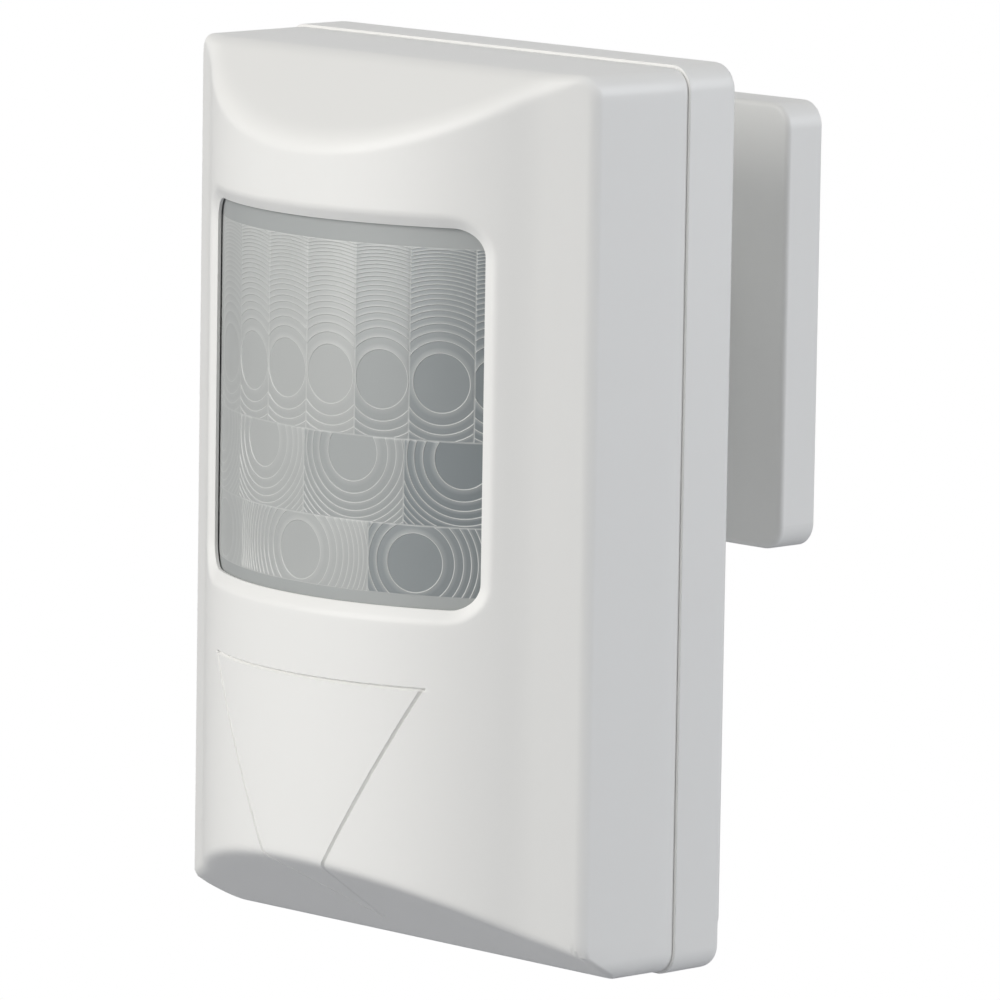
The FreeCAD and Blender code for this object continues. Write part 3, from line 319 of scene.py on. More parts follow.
def lens_material():
    """Milky polyethylene film: a painted highlight makes the rings' crests paler, and painted shade darkens
    and cools the facets that let more light through, most towards the right.
    """
    material, s, shader = new_material("milky_lens_film")
    milky, painted_shade_tint, edge_light = (0.48, 0.495, 0.485, 1), (0.265, 0.295, 0.305, 1), (0.88, 0.88, 0.85, 1)
    skin = place_group(s, MOULDED, Tint=milky, Clouding=0.10, Roughness=0.36)
    painted_ridge_glint = s.add("ShaderNodeAttribute", attribute_name="painted_ridge_glint").outputs["Fac"]
    clear = s.add("ShaderNodeAttribute", attribute_name="clearness_and_painted_shade").outputs["Fac"]
    # painted shade: facets that let more light through are mixed towards a dark cool tint, standing in for
    # the shaded inside seen through the film
    painted_shade_colour = s.mix(s.maths("MAXIMUM", clear, 0.0), skin.outputs["Colour"], painted_shade_tint)
    # painted highlight: a pale share along the rings' crests and the facets' borders, stronger on the clearer
    # facets
    painted_glint_share = s.maths("MULTIPLY", painted_ridge_glint, s.spread(clear, -0.6, 1.0, 0.05, 0.85))
    s.join(s.mix(painted_glint_share, painted_shade_colour, edge_light), shader["Base Color"])
    s.join(skin.outputs["Roughness"], shader["Roughness"])
    opaque = s.spread(clear, 0.0, 1.0, 0.93, 0.80)
    s.join(s.maths("ADD", opaque, s.maths("MULTIPLY", painted_ridge_glint, 0.1), clamp=True), shader["Alpha"])
    shader["IOR"].default_value = 1.54
    s.join(bump(s, skin.outputs["Height"], 0.5, 0.01), shader["Normal"])
    return material


def glassy(name, tint, roughness, transmission):
    """Tinted glass or clear resin, slightly uneven in its tint."""
    material, s, shader = new_material(name)
    skin = place_group(s, MOULDED, Tint=tint, Clouding=0.25, Roughness=roughness)
    s.join(skin.outputs["Colour"], shader["Base Color"])
    s.join(skin.outputs["Roughness"], shader["Roughness"])
    shader["Transmission Weight"].default_value = transmission
    shader["IOR"].default_value = 1.52
    shader["Coat Weight"].default_value = 0.5
    return material


def board_material():
    """Green resist over a glass-fibre board, whose weave shows faintly."""
    material, s, shader = new_material("board_resist")
    resist, over_strands = (0.012, 0.125, 0.048, 1), (0.03, 0.19, 0.08, 1)
    skin = place_group(s, MOULDED, Tint=resist, Clouding=0.2, Roughness=0.3)
    place = s.add("ShaderNodeTexCoord").outputs["Object"]
    heights = []
    for direction in ("X", "Z"):
        strands = s.add("ShaderNodeTexWave", wave_type="BANDS", bands_direction=direction, Scale=420.0,
                        Distortion=1.5)
        s.join(place, strands.inputs["Vector"])
        heights.append(strands.outputs["Fac"])
    weave = s.maths("MULTIPLY", heights[0], heights[1])
    colour = s.mix(s.maths("MULTIPLY", weave, 0.5), skin.outputs["Colour"], over_strands)
    s.join(colour, shader["Base Color"])
    s.join(skin.outputs["Roughness"], shader["Roughness"])
    s.join(bump(s, weave, 0.3, 0.01), shader["Normal"])
    shader["Coat Weight"].default_value = 0.3
    shader["Coat Roughness"].default_value = 0.12
    return material


WHITE_COVER = plastic("cover_white", (0.83, 0.83, 0.81, 1), roughness=0.42, clouding=0.02, relief=0.010,
                      specks=0.004)
WHITE_BRACKET = plastic("bracket_white", (0.82, 0.82, 0.80, 1), roughness=0.46, clouding=0.02, relief=0.012,
                        specks=0.004)
LENS_FILM = lens_material()
FRAME_WHITE = plastic("frame_white", (0.78, 0.78, 0.75, 1), roughness=0.5, clouding=0.03, relief=0.02)
NYLON = plastic("liner_nylon", (0.035, 0.035, 0.036, 1), roughness=0.45, clouding=0.15, relief=0.02)
EPOXY = plastic("moulded_black", (0.022, 0.022, 0.024, 1), roughness=0.55, clouding=0.2, grain=4200.0,
                relief=0.02, specks=0.01, speck_tint=(0.12, 0.12, 0.12, 1))
IVORY = plastic("ivory_acetal", (0.74, 0.70, 0.60, 1), roughness=0.35, clouding=0.05)
TERMINAL_BLUE = plastic("terminal_blue", (0.035, 0.14, 0.40, 1), roughness=0.38, clouding=0.08, relief=0.015)
TRIMMER_BLUE = plastic("trimmer_blue", (0.03, 0.11, 0.42, 1), roughness=0.32, clouding=0.06)
RELAY_WHITE = plastic("relay_white", (0.76, 0.76, 0.72, 1), roughness=0.3, clouding=0.03, coat=0.2)
SLEEVE = plastic("capacitor_sleeve", (0.018, 0.03, 0.075, 1), roughness=0.25, clouding=0.1, coat=0.4)
CERAMIC = plastic("fired_ceramic", (0.62, 0.52, 0.36, 1), roughness=0.6, clouding=0.15, grain=6000.0,
                  relief=0.02)
STEEL = metal("zinc_plate", (0.62, 0.62, 0.60, 1), roughness=0.34, scratches=0.3)
NICKEL = metal("nickel_plate", (0.66, 0.64, 0.60, 1), roughness=0.22, scratches=0.2)
TIN = metal("solder_tin", (0.72, 0.72, 0.72, 1), roughness=0.3, scratches=0.35)
GOLD = metal("gold_flash", (0.83, 0.62, 0.27, 1), roughness=0.25, scratches=0.2)
ALUMINIUM = metal("bare_aluminium", (0.75, 0.76, 0.77, 1), roughness=0.38, scratches=0.4)
FILTER_GLASS = glassy("coated_filter", (0.035, 0.04, 0.06, 1), 0.12, 0.15)
LED_RED = glassy("red_lens", (0.55, 0.02, 0.015, 1), 0.18, 0.35)
BOARD_GREEN = board_material()
TRACK_GREEN = plastic("track_green", (0.035, 0.22, 0.085, 1), roughness=0.28, clouding=0.15, grain=3000.0,
                      relief=0.008, coat=0.3)
LEGEND_WHITE = plastic("legend_ink", (0.72, 0.72, 0.68, 1), roughness=0.6, clouding=0.1, grain=5000.0)


# ---------------------------------------------------------------- mesh helpers

def make_piece(name, verts_mm, faces, body, material, slot):
    """A piece from points in millimetres and faces."""
    mesh = bpy.data.meshes.new(name)
    mesh.from_pydata([(x * MM, y * MM, z * MM) for x, y, z in verts_mm], [], faces)
    mesh.validate()
    place_piece(name, mesh, body, material, 30.0)


def place_piece(name, mesh, body, material, smooth_angle, replaces=()):
    """A mesh as a piece that rides on a body and replaces CAD nodes; edges over the angle stay sharp."""
    piece = bpy.data.objects.new(name, mesh)
    bpy.context.scene.collection.objects.link(piece)
    mesh.materials.clear()
    mesh.materials.append(material)
    mesh.shade_smooth()
    mesh.set_sharp_from_angle(angle=math.radians(smooth_angle))
    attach(piece, body)
    if replaces:
        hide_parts(*replaces)
    return piece


def bridge(rings):
    """Quads between rings of equal length, and from the last ring back to the first."""
    count = len(rings[0])
    verts = [tuple(p) for ring in rings for p in ring]
    faces = []
    for r in range(len(rings)):
        a = r * count
        b = ((r + 1) % len(rings)) * count
        for i in range(count):
            j = (i + 1) % count
            faces.append((a + i, a + j, b + j, b + i))
    return verts, faces


def rounded_outline(half_x, low, high, radius, side_steps, end_steps, corner_steps):
    """Points of a rounded rectangle in x and height, anticlockwise from the foot of its right side."""
    points = []
    cx, cl, ch = half_x - radius, low + radius, high - radius

    def arc(x, z, start):
        for k in range(corner_steps):
            turn = start + (math.pi / 2) * k / corner_steps
            points.append((x + radius * math.cos(turn), z + radius * math.sin(turn)))

    def run(p, q, steps):
        for k in range(steps):
            t = k / steps
            points.append((p[0] + (q[0] - p[0]) * t, p[1] + (q[1] - p[1]) * t))

    run((half_x, cl), (half_x, ch), side_steps)
    arc(cx, ch, 0.0)
    run((cx, high), (-cx, high), end_steps)
    arc(-cx, ch, math.pi / 2)
    run((-half_x, ch), (-half_x, cl), side_steps)
    arc(-cx, cl, math.pi)
    run((-cx, low), (cx, low), end_steps)
    arc(cx, cl, 1.5 * math.pi)
    return np.array(points)


# ---------------------------------------------------------------- front cover

def soft_max(a, b, blend):
    """The larger of two depths, rounded over where they differ by less than the blend."""
    over = np.maximum(blend - np.abs(a - b), 0.0) / blend
    return np.maximum(a, b) + over * over * blend / 4


def plan_depth(x, inset):
    """Depth of the bulge and the flanges beside it, with a soft crease where they meet."""
    tan, sin, cos = math.tan(FLANGE_TILT), math.sin(FLANGE_TILT), math.cos(FLANGE_TILT)
    radius = BULGE_RADIUS - inset
    shifted = CREASE_DEPTH + inset / cos
    behind = BULGE_CENTRE - shifted
    across = CREASE_X * cos - behind * sin
    run = math.sqrt(across**2 - CREASE_X**2 - behind**2 + radius**2) - across
    crease = CREASE_X + run * cos
    x = np.abs(x)
    bulge = BULGE_CENTRE - np.sqrt(np.maximum(radius**2 - x**2, 1.0))
    flange = shifted + (x - CREASE_X) * tan
    start, end = crease - CREASE_BLEND, crease + CREASE_BLEND
    width = end - start
    t = np.clip((x - start) / width, 0.0, 1.0)
    y0 = BULGE_CENTRE - math.sqrt(radius**2 - start**2)
    slope0 = start / math.sqrt(radius**2 - start**2)
    y1 = shifted + (end - CREASE_X) * tan
    blend = (
        (2 * t**3 - 3 * t**2 + 1) * y0 + (t**3 - 2 * t**2 + t) * width * slope0
        + (3 * t**2 - 2 * t**3) * y1 + (t**3 - t**2) * width * tan
    )
    return np.where(x <= start, bulge, np.where(x >= end, flange, blend))


def front_surface(x, z, inset=0.0):
    """Depth of the cover's front at x and height z; inset gives the parallel surface inside the wall."""
    top = -TOP_START - (HEIGHT - z) / math.tan(TOP_SLOPE) + inset / math.sin(TOP_SLOPE)
    bottom = BOTTOM_START - z / math.tan(BOTTOM_SLOPE) + inset / math.sin(BOTTOM_SLOPE)
    return soft_max(soft_max(plan_depth(x, inset), top, TOP_BLEND), bottom, BOTTOM_BLEND)


def cover_rings():
    """Rings round the window: its jamb and rim, the front, the outer edge, the side walls and the inside."""
    steps = {"side_steps": 110, "end_steps": 84, "corner_steps": 12}
    window = rounded_outline(WINDOW_HALF, WINDOW_LOW, WINDOW_HIGH, WINDOW_ROUND, **steps)
    rim = rounded_outline(
        WINDOW_HALF + RIM_WIDTH, WINDOW_LOW - RIM_WIDTH, WINDOW_HIGH + RIM_WIDTH,
        WINDOW_ROUND + RIM_WIDTH, **steps,
    )
    seat = rounded_outline(LENS_HALF + SEAT_FIT, SEAT_LOW, SEAT_HIGH, SEAT_FIT, **steps)
    narrow = HALF - DRAFT
    edge = rounded_outline(
        narrow - EDGE_ROUND, EDGE_ROUND, HEIGHT - EDGE_ROUND, CORNER_ROUND - EDGE_ROUND, **steps
    )
    front_outline = rounded_outline(narrow, 0.0, HEIGHT, CORNER_ROUND, **steps)
    outline = rounded_outline(HALF, 0.0, HEIGHT, CORNER_ROUND, **steps)
    inside = rounded_outline(HALF - WALL, WALL, HEIGHT - WALL, CORNER_ROUND - WALL, **steps)
    seam = COVER_DEPTH - SEAM_GAP
    rings = []

    def ring(points, depth):
        rings.append(np.column_stack([points[:, 0], np.broadcast_to(depth, len(points)), points[:, 1]]))

    def on_front(points, inset=0.0):
        return front_surface(points[:, 0], points[:, 1], inset)

    # window jamb, from its back edge forward, then the bevelled rim with its soft outer edge
    jamb_front = on_front(window) + RIM_DROP
    jamb_back = on_front(window, LENS_SINK - SEAT_FIT)
    for share in (0.0, 0.5, 1.0):
        ring(window, jamb_back + (jamb_front - jamb_back) * share)
    rim_steps = 12
    for k in range(1, rim_steps + 1):
        share = k / rim_steps
        drop = soft_max(RIM_DROP * (1 - share * (1 + RIM_BLEND)), 0.0, RIM_BLEND * RIM_DROP)
        points = window + (rim - window) * share
        ring(points, on_front(points) + drop)
    # the front, from the rim out to the rounded outer edge
    front_steps = 84
    for k in range(1, front_steps):
        points = rim + (edge - rim) * (k / front_steps)
        ring(points, on_front(points))
    edge_steps = 10
    for k in range(edge_steps + 1):
        turn = (math.pi / 2) * k / edge_steps
        points = edge + (front_outline - edge) * math.sin(turn)
        ring(points, on_front(points) + EDGE_ROUND * (1 - math.cos(turn)))
    # side walls back to the seam, round its lip, and back in along the inside
    wall_front = on_front(front_outline) + EDGE_ROUND
    for share in (0.25, 0.5, 0.75, 1.0):
        points = front_outline + (outline - front_outline) * share
        ring(points, wall_front + (seam - SEAM_ROUND - wall_front) * share)
    lip_steps = 3
    for k in range(1, lip_steps + 1):
        turn = (math.pi / 2) * k / lip_steps
        points = outline + (inside - outline) * (SEAM_ROUND / WALL) * (1 - math.cos(turn))
        ring(points, seam - SEAM_ROUND * (1 - math.sin(turn)))
    ring(inside, seam)
    inner_front = on_front(inside, WALL)
    for share in (0.5, 1.0):
        ring(inside, seam + (inner_front - seam) * share)
    inner_steps = 26
    for k in range(1, inner_steps + 1):
        points = inside + (seat - inside) * (k / inner_steps)
        ring(points, on_front(points, WALL))
    # the lens's seat, sunk into the wall from behind
    for share in (0.0, 0.5):
        points = seat + (window - seat) * share
        ring(points, on_front(points, LENS_SINK - SEAT_FIT))
    return rings


def engrave(mesh, start, end, width, depth):
    """Cuts a V groove into the front along the straight line from start to end, each (x, height)."""
    (x0, z0), (x1, z1) = start, end
    length = math.hypot(x1 - x0, z1 - z0)
    along = Vector(((x1 - x0) / length, 0.0, (z1 - z0) / length))
    across = Vector((-along.z, 0.0, along.x))
    origin = Vector((x0, 0.0, z0))
    end_reach, side_reach = 0.6, 1.6
    least_facing = 0.15
    surface_limit = FRONT_Y + BOTTOM_START + 1.0
    touch = 1e-4

    def near(face):
        """Whether a face of the cover's outside lies close enough to the groove to be cut by it."""
        middle = face.calc_center_median()
        step = middle - origin
        inside = -end_reach < step.dot(along) < length + end_reach and abs(step.dot(across)) < side_reach
        return inside and face.normal.y < -least_facing and middle.y < surface_limit

    # two cuts at the groove's edges, one along its floor, and one across each end
    cuts = [(origin + across * share * width / 2, across) for share in (-1, 1, 0)]
    cuts += [(origin, along), (origin + along * length, along)]
    for point, normal in cuts:
        mesh.faces.ensure_lookup_table()
        faces = [f for f in mesh.faces if near(f)]
        geometry = set(faces)
        for face in faces:
            geometry.update(face.edges)
            geometry.update(face.verts)
        bmesh.ops.bisect_plane(mesh, geom=list(geometry), plane_co=point, plane_no=normal, dist=1e-5)
    mesh.normal_update()
    # every point inside the groove sinks, most along its middle
    reached = {vert for face in mesh.faces if near(face) for vert in face.verts}
    for vert in reached:
        step = vert.co - origin
        aside = abs(step.dot(across)) / (width / 2)
        if aside < 1.0 and -touch < step.dot(along) < length + touch:
            vert.co.y += depth * (1.0 - aside)


def make_front_cover():
    """The cover as one closed shell, with the outlined triangle engraved in its front."""
    verts, faces = bridge(cover_rings())
    mesh = bmesh.new()
    made = [mesh.verts.new((x, y + FRONT_Y, z)) for x, y, z in verts]
    for face in faces:
        mesh.faces.new([made[i] for i in face])
    bmesh.ops.recalc_face_normals(mesh, faces=mesh.faces)
    corners = [(-MARK_HALF, MARK_HIGH), (MARK_HALF, MARK_HIGH), (0.0, MARK_LOW)]
    for a, b in ((0, 1), (1, 2), (0, 2)):
        engrave(mesh, corners[a], corners[b], GROOVE_WIDTH, GROOVE_DEPTH)
    bmesh.ops.recalc_face_normals(mesh, faces=mesh.faces)
    for vert in mesh.verts:
        vert.co = (vert.co.x * MM, vert.co.y * MM, (vert.co.z + BASE_Z) * MM)
    data = bpy.data.meshes.new("front_cover_shell")
    mesh.to_mesh(data)
    mesh.free()
    place_piece("front_cover_shell", data, "cover", WHITE_COVER, 28.0, ["front_cover"])


# ---------------------------------------------------------------- lens

ZONE = 3.15           # radius of a facet's plain centre; ring number k lies at ZONE * sqrt(k)
RELIEF = 0.07         # height of the rings
RISER = 0.10          # width of the steep side of each ring
BORDER = 0.14         # the relief fades to nothing this far from a facet's border
ROW_TOP, ROW_UPPER, ROW_LOWER, ROW_BOTTOM = 78.2, 57.7, 48.6, 41.1     # borders of the three rows
UPPER_CENTRE, MIDDLE_CENTRE, LOWER_CENTRE = 63.9, 55.9, 44.6           # heights of the rings' centres
FAINT_BELOW = -0.4    # facets less clear than this have weak relief
FAINT_RELIEF = 0.3
BORDER_PAINTED_GLINT = 0.55   # how strong the painted highlight along the borders between facets is
# how clear the plain strips are, which also gives them a little painted shade
STRIP_CLEARNESS_AND_SHADE = 0.25


def lens_facets():
    """Each facet as (left, right, low, high, centre across, centre's height, how clear it is with its painted
    shade).

    Places across the lens are turns in degrees about the bulge's axis. The last value is below 0 where
    the rings are faint and 1 where the film lets most light through; it also sets how much painted shade
    darkens the facet's colour, most on the right.
    """
    edge = math.degrees(math.asin(LENS_HALF / LENS_RADIUS))
    facets = []
    upper = [-edge, -33, -21.5, -10.5, 0.4, 11.6, 22.5, 34.5, edge + 3]
    upper_clear_and_shade = [-0.6, -0.5, -0.2, 0.0, 0.0, 0.35, 0.75, 1.0]
    for left, right, clear in zip(upper, upper[1:], upper_clear_and_shade):
        facets.append((left, min(right, edge), ROW_UPPER, ROW_TOP, (left + right) / 2, UPPER_CENTRE, clear))
    for left, right, centre, clear in ((-edge, -21.5, -33, -0.5), (-21.5, 0, -11.9, -0.1),
                                       (0, 21.7, 11.2, 0.3), (21.7, edge, 32.7, 1.0)):
        facets.append((left, right, ROW_LOWER, ROW_UPPER, centre, MIDDLE_CENTRE, clear))
    for left, right, centre, clear in ((-edge, -20, -30, -0.5), (-20, 14.8, -0.8, 0.05),
                                       (14.8, edge, 24, 0.85)):
        facets.append((left, right, ROW_BOTTOM, ROW_LOWER, centre, LOWER_CENTRE, clear))
    return facets


def ring_profile(reach):
    """Radii, heights and shares of painted highlight across a facet: a plain centre, then saw-tooth rings out
    to reach.
    """
    profile = [(ZONE * share, 0.0, 0.0) for share in (0.25, 0.5, 0.75)]
    count = int((reach / ZONE) ** 2) + 1
    for k in range(1, count + 1):
        radius = ZONE * math.sqrt(k)
        step = ZONE * (math.sqrt(k + 1) - math.sqrt(k))
        riser = min(RISER, step / 3)
        profile += [(radius - riser / 2, 0.0, 0.0), (radius + riser / 2, 1.0, 1.0),
                    (radius + riser / 2 + riser / 3, 0.9, 0.25), (radius + step / 2, 0.5, 0.0)]
    return profile


def facet_mesh(mesh, layers, left, right, low, high, centre, height, clear):
    """Adds one facet, made flat in x and z, cut to its rectangle and then bent on the lens's cylinder."""
    x0, x1, cx = (LENS_RADIUS * math.radians(turn) for turn in (left, right, centre))
    reach = max(math.hypot(x - cx, z - height) for x in (x0, x1) for z in (low, high))
    profile = ring_profile(reach)
    turns = 120
    flat = bmesh.new()
    rise = flat.verts.layers.float.new("rise")
    painted_ridge_glint = flat.verts.layers.float.new("painted_ridge_glint")
    middle = flat.verts.new((cx, 0.0, height))
    previous = None
    for radius, lift, painted_glint in profile:
        ring = []
        for k in range(turns):
            turn = 2 * math.pi * k / turns
            vert = flat.verts.new((cx + radius * math.cos(turn), 0.0, height + radius * math.sin(turn)))
            vert[rise] = lift
            vert[painted_ridge_glint] = painted_glint
            ring.append(vert)
        for k in range(turns):
            j = (k + 1) % turns
            if previous is None:
                flat.faces.new((middle, ring[k], ring[j]))
            else:
                flat.faces.new((previous[k], ring[k], ring[j], previous[j]))
        previous = ring
    # the first four cuts give the facet its border, the others the lines where the relief starts to fade
    for point, normal, keep in (
        ((x0, 0, 0), (-1, 0, 0), False), ((x1, 0, 0), (1, 0, 0), False),
        ((0, 0, low), (0, 0, -1), False), ((0, 0, high), (0, 0, 1), False),
        ((x0 + BORDER, 0, 0), (1, 0, 0), True), ((x1 - BORDER, 0, 0), (1, 0, 0), True),
        ((0, 0, low + BORDER), (0, 0, 1), True), ((0, 0, high - BORDER), (0, 0, 1), True),
    ):
        geometry = flat.verts[:] + flat.edges[:] + flat.faces[:]
        bmesh.ops.bisect_plane(flat, geom=geometry, plane_co=point, plane_no=normal, dist=1e-5,
                               clear_outer=not keep)
    strength = FAINT_RELIEF if clear < FAINT_BELOW else 1.0
    made = {}
    for vert in flat.verts:
        x, z = vert.co.x, vert.co.z
        inward = min(x - x0, x1 - x, z - low, high - z)
        share = min(max(inward / BORDER, 0.0), 1.0)
        radius = LENS_RADIUS - RELIEF * (1 - vert[rise] * share * strength)
        turn = x / LENS_RADIUS
        copy = mesh.verts.new((radius * math.sin(turn), -radius * math.cos(turn), z))
        # painted highlight along the rings' crests, fading into the painted highlight of the borders
        copy[layers["painted_ridge_glint"]] = max(vert[painted_ridge_glint] * share, BORDER_PAINTED_GLINT * (1 - share))
        # how clear the facet is, which also sets its painted shade
        copy[layers["clearness_and_painted_shade"]] = clear
        made[vert] = copy
    for face in flat.faces:
        mesh.faces.new([made[v] for v in face.verts])
    flat.free()


def plain_strip(mesh, layers, radius, half_turn, low, high):
    """A plain part of the lens's front or back: a grid on a cylinder."""
    across, up = 120, 3
    grid = []
    for j in range(up + 1):
        height = low + (high - low) * j / up
        row = []
        for i in range(across + 1):
            turn = -half_turn + 2 * half_turn * i / across
            vert = mesh.verts.new((radius * math.sin(turn), -radius * math.cos(turn), height))
            vert[layers["clearness_and_painted_shade"]] = STRIP_CLEARNESS_AND_SHADE
            row.append(vert)
        grid.append(row)
    for j in range(up):
        for i in range(across):
            mesh.faces.new((grid[j][i], grid[j][i + 1], grid[j + 1][i + 1], grid[j + 1][i]))
    return grid


def make_lens():
    """The lens film: three rows of facets, plain strips above and below them, and a plain back."""
    mesh = bmesh.new()
    layers = {name: mesh.verts.layers.float.new(name) for name in ("painted_ridge_glint", "clearness_and_painted_shade")}
    for facet in lens_facets():
        facet_mesh(mesh, layers, *facet)
    front = LENS_RADIUS - RELIEF
    half_turn = math.asin(LENS_HALF / LENS_RADIUS)
    top = plain_strip(mesh, layers, front, half_turn, ROW_TOP, LENS_HIGH)
    bottom = plain_strip(mesh, layers, front, half_turn, LENS_LOW, ROW_BOTTOM)
    back = plain_strip(mesh, layers, LENS_RADIUS - LENS_THICKNESS, half_turn, LENS_LOW, LENS_HIGH)
    for a, b in ((top[-1], back[-1]), (bottom[0], back[0])):
        for i in range(len(a) - 1):
            mesh.faces.new((a[i], a[i + 1], b[i + 1], b[i]))
    bmesh.ops.remove_doubles(mesh, verts=mesh.verts, dist=1e-4)
    for vert in mesh.verts:
        vert.co = (vert.co.x * MM, (vert.co.y + FRONT_Y + BULGE_CENTRE) * MM, (vert.co.z + BASE_Z) * MM)
    bmesh.ops.recalc_face_normals(mesh, faces=mesh.faces)
    data = bpy.data.meshes.new("faceted_lens")
    mesh.to_mesh(data)
    mesh.free()
    place_piece("faceted_lens", data, "cover", LENS_FILM, 24.0, ["fresnel_lens"])


# ---------------------------------------------------------------- CAD pieces with softened edges

SHARP_ANGLE = 32.0    # edges that turn more than this, in degrees, are rounded
FLAT_ANGLE = 0.6      # faces that turn less than this are one face


def softened(node, material, body, width):
    """A copy of a CAD piece with its hard edges slightly rounded, as moulded parts have them."""
    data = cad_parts[node].data.copy()
    data.name = node + "_finished"
    mesh = bmesh.new()
    mesh.from_mesh(data)
    bmesh.ops.remove_doubles(mesh, verts=mesh.verts, dist=1e-6)
    bmesh.ops.dissolve_limit(mesh, angle_limit=math.radians(FLAT_ANGLE), verts=mesh.verts, edges=mesh.edges)
    mesh.to_mesh(data)
    mesh.free()
    # zero normals clear the CAD's own, so that shading follows the rounded edges
    if data.has_custom_normals:
        data.normals_split_custom_set([(0.0, 0.0, 0.0)] * len(data.loops))
    piece = place_piece(node + "_finished", data, body, material, SHARP_ANGLE, [node])
    bevel = piece.modifiers.new("soft_edges", "BEVEL")
    bevel.width = width * MM
    bevel.segments = 2
    bevel.limit_method = "ANGLE"
    bevel.angle_limit = math.radians(SHARP_ANGLE)
    bevel.harden_normals = True
    bevel.use_clamp_overlap = False
    bevel.miter_outer = "MITER_ARC"
    return piece


def two_tone(piece, second, chooser):
    """Gives a second material to the faces whose middle, in millimetres, the chooser picks."""
    piece.data.materials.append(second)
    for face in piece.data.polygons:
        x, y, z = (v / MM for v in face.center)
        if chooser(x, y, z):
            face.material_index = 1


def dress(node, material):
    """Gives a CAD piece that stays as it is its material."""
    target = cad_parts[node]
    if not target.material_slots:
        target.data.materials.append(material)
    for slot in target.material_slots:
        slot.material = material


# ---------------------------------------------------------------- circuit board finish

LEGS = 7                # on each side of a chip
LEG_PITCH = 1.27
TERMINALS = 6
TRACK_WIDTH = 0.3
TRACK_LIFT = 0.035
PAD_WIDTH = 0.62
PAD_LIFT = 0.05
HOLE_RADIUS = 0.16
HOLE_RING = 0.42        # outer radius of a plated hole's ring
LEGEND_WIDTH = 0.15
LEGEND_LIFT = 0.02
LEGEND_MARGIN = 0.45    # between a part and its printed outline
COLUMN_WIDTH = 1.6      # width allotted to each part of a row of small ones
RING_BEVEL = 0.94       # share of the ring's outer radius at which its slanted edge ends
SHARPEST_MITRE = 0.3    # keeps the corner of a sharp turn from running far out


def ribbons(paths, width, face_y, lift):
    """Flat strips along paths of (x, z), standing lift proud of the face at face_y."""
    verts, faces = [], []
    for path in paths:
        points = [Vector(p) for p in path]
        base = len(verts)
        for i, point in enumerate(points):
            # a corner's edges are mitred between the runs before and after it
            before = (point - points[i - 1]).normalized() if i else None
            after = (points[i + 1] - point).normalized() if i + 1 < len(points) else None
            along = ((before or after) + (after or before)).normalized()
            normal = Vector((-along.y, along.x))
            ahead = after or before
            reach = width / 2 / max(normal.dot(Vector((-ahead.y, ahead.x))), SHARPEST_MITRE)
            for share in (-1, 1):
                spot = point + normal * reach * share
                verts.append((spot.x, face_y - lift, spot.y))
                verts.append((spot.x, face_y, spot.y))
        for i in range(len(points) - 1):
            a, b = base + 4 * i, base + 4 * (i + 1)
            faces += [(a, a + 2, b + 2, b), (a + 1, a, b, b + 1), (a + 2, a + 3, b + 3, b + 2)]
        end = base + 4 * (len(points) - 1)
        faces += [(base, base + 1, base + 3, base + 2), (end + 1, end, end + 2, end + 3)]
    return verts, faces


def hole_rings(places, face_y, lift):
    """Raised rings with a slanted edge, round plated holes at places (x, z)."""
    turns = 20
    verts, faces = [], []
    for x, z in places:
        base = len(verts)
        for k in range(turns):
            turn = 2 * math.pi * k / turns
            cx, cz = math.cos(turn), math.sin(turn)
            for radius, proud in ((HOLE_RING, 0.0), (HOLE_RING * RING_BEVEL, lift), (HOLE_RADIUS, lift),
                                  (HOLE_RADIUS, -lift / 2)):
                verts.append((x + radius * cx, face_y - proud, z + radius * cz))
        for k in range(turns):
            a, b = base + 4 * k, base + 4 * ((k + 1) % turns)
            for j in range(3):
                faces.append((a + j, a + j + 1, b + j + 1, b + j))
    return verts, faces


def leg_places(node, side):
    """Where a chip's legs end on one side, from the lowest up."""
    low, high = node_box(node)
    x = low[0] if side < 0 else high[0]
    middle = (low[2] + high[2]) / 2
    return [(x, middle + (i - LEGS // 2) * LEG_PITCH) for i in range(LEGS)]


def column_places(node, count):
    """Each small part of a row that shares one node, as (middle, foot, top)."""
    low, high = node_box(node)
    step = (high[0] - low[0] - COLUMN_WIDTH) / (count - 1)
    return [(low[0] + COLUMN_WIDTH / 2 + step * i, low[2], high[2]) for i in range(count)]


def legend_outline(node):
    """The printed rectangle round a part; its last run goes past the first by half a line."""
    low, high = node_box(node)
    x0, x1 = low[0] - LEGEND_MARGIN, high[0] + LEGEND_MARGIN
    z0, z1 = low[2] - LEGEND_MARGIN, high[2] + LEGEND_MARGIN
    return [(x0, z0), (x1, z0), (x1, z1), (x0, z1), (x0, z0 - LEGEND_WIDTH / 2)]


def chip_wiring(node, side, tracks, pads, holes):
    """A pad under each leg and a track from it to a plated hole, the further out the nearer the middle."""
    pad_under, pad_past = 0.7, 0.55
    kink = 0.4
    for i, (x, z) in enumerate(leg_places(node, side)):
        pads.append([(x - side * pad_under, z), (x + side * pad_past, z)])
        rank = min(i, LEGS - 1 - i)
        rise = 1 if i > LEGS // 2 else -1
        shift = 0.55 * rank
        out = 1.1 + shift
        run = 1.6 + 0.35 * rank
        end = (x + side * out, z + rise * (run + shift))
        tracks.append([(x, z), (x + side * (out - kink), z), (x + side * out, z + rise * kink), end])
        holes.append(end)


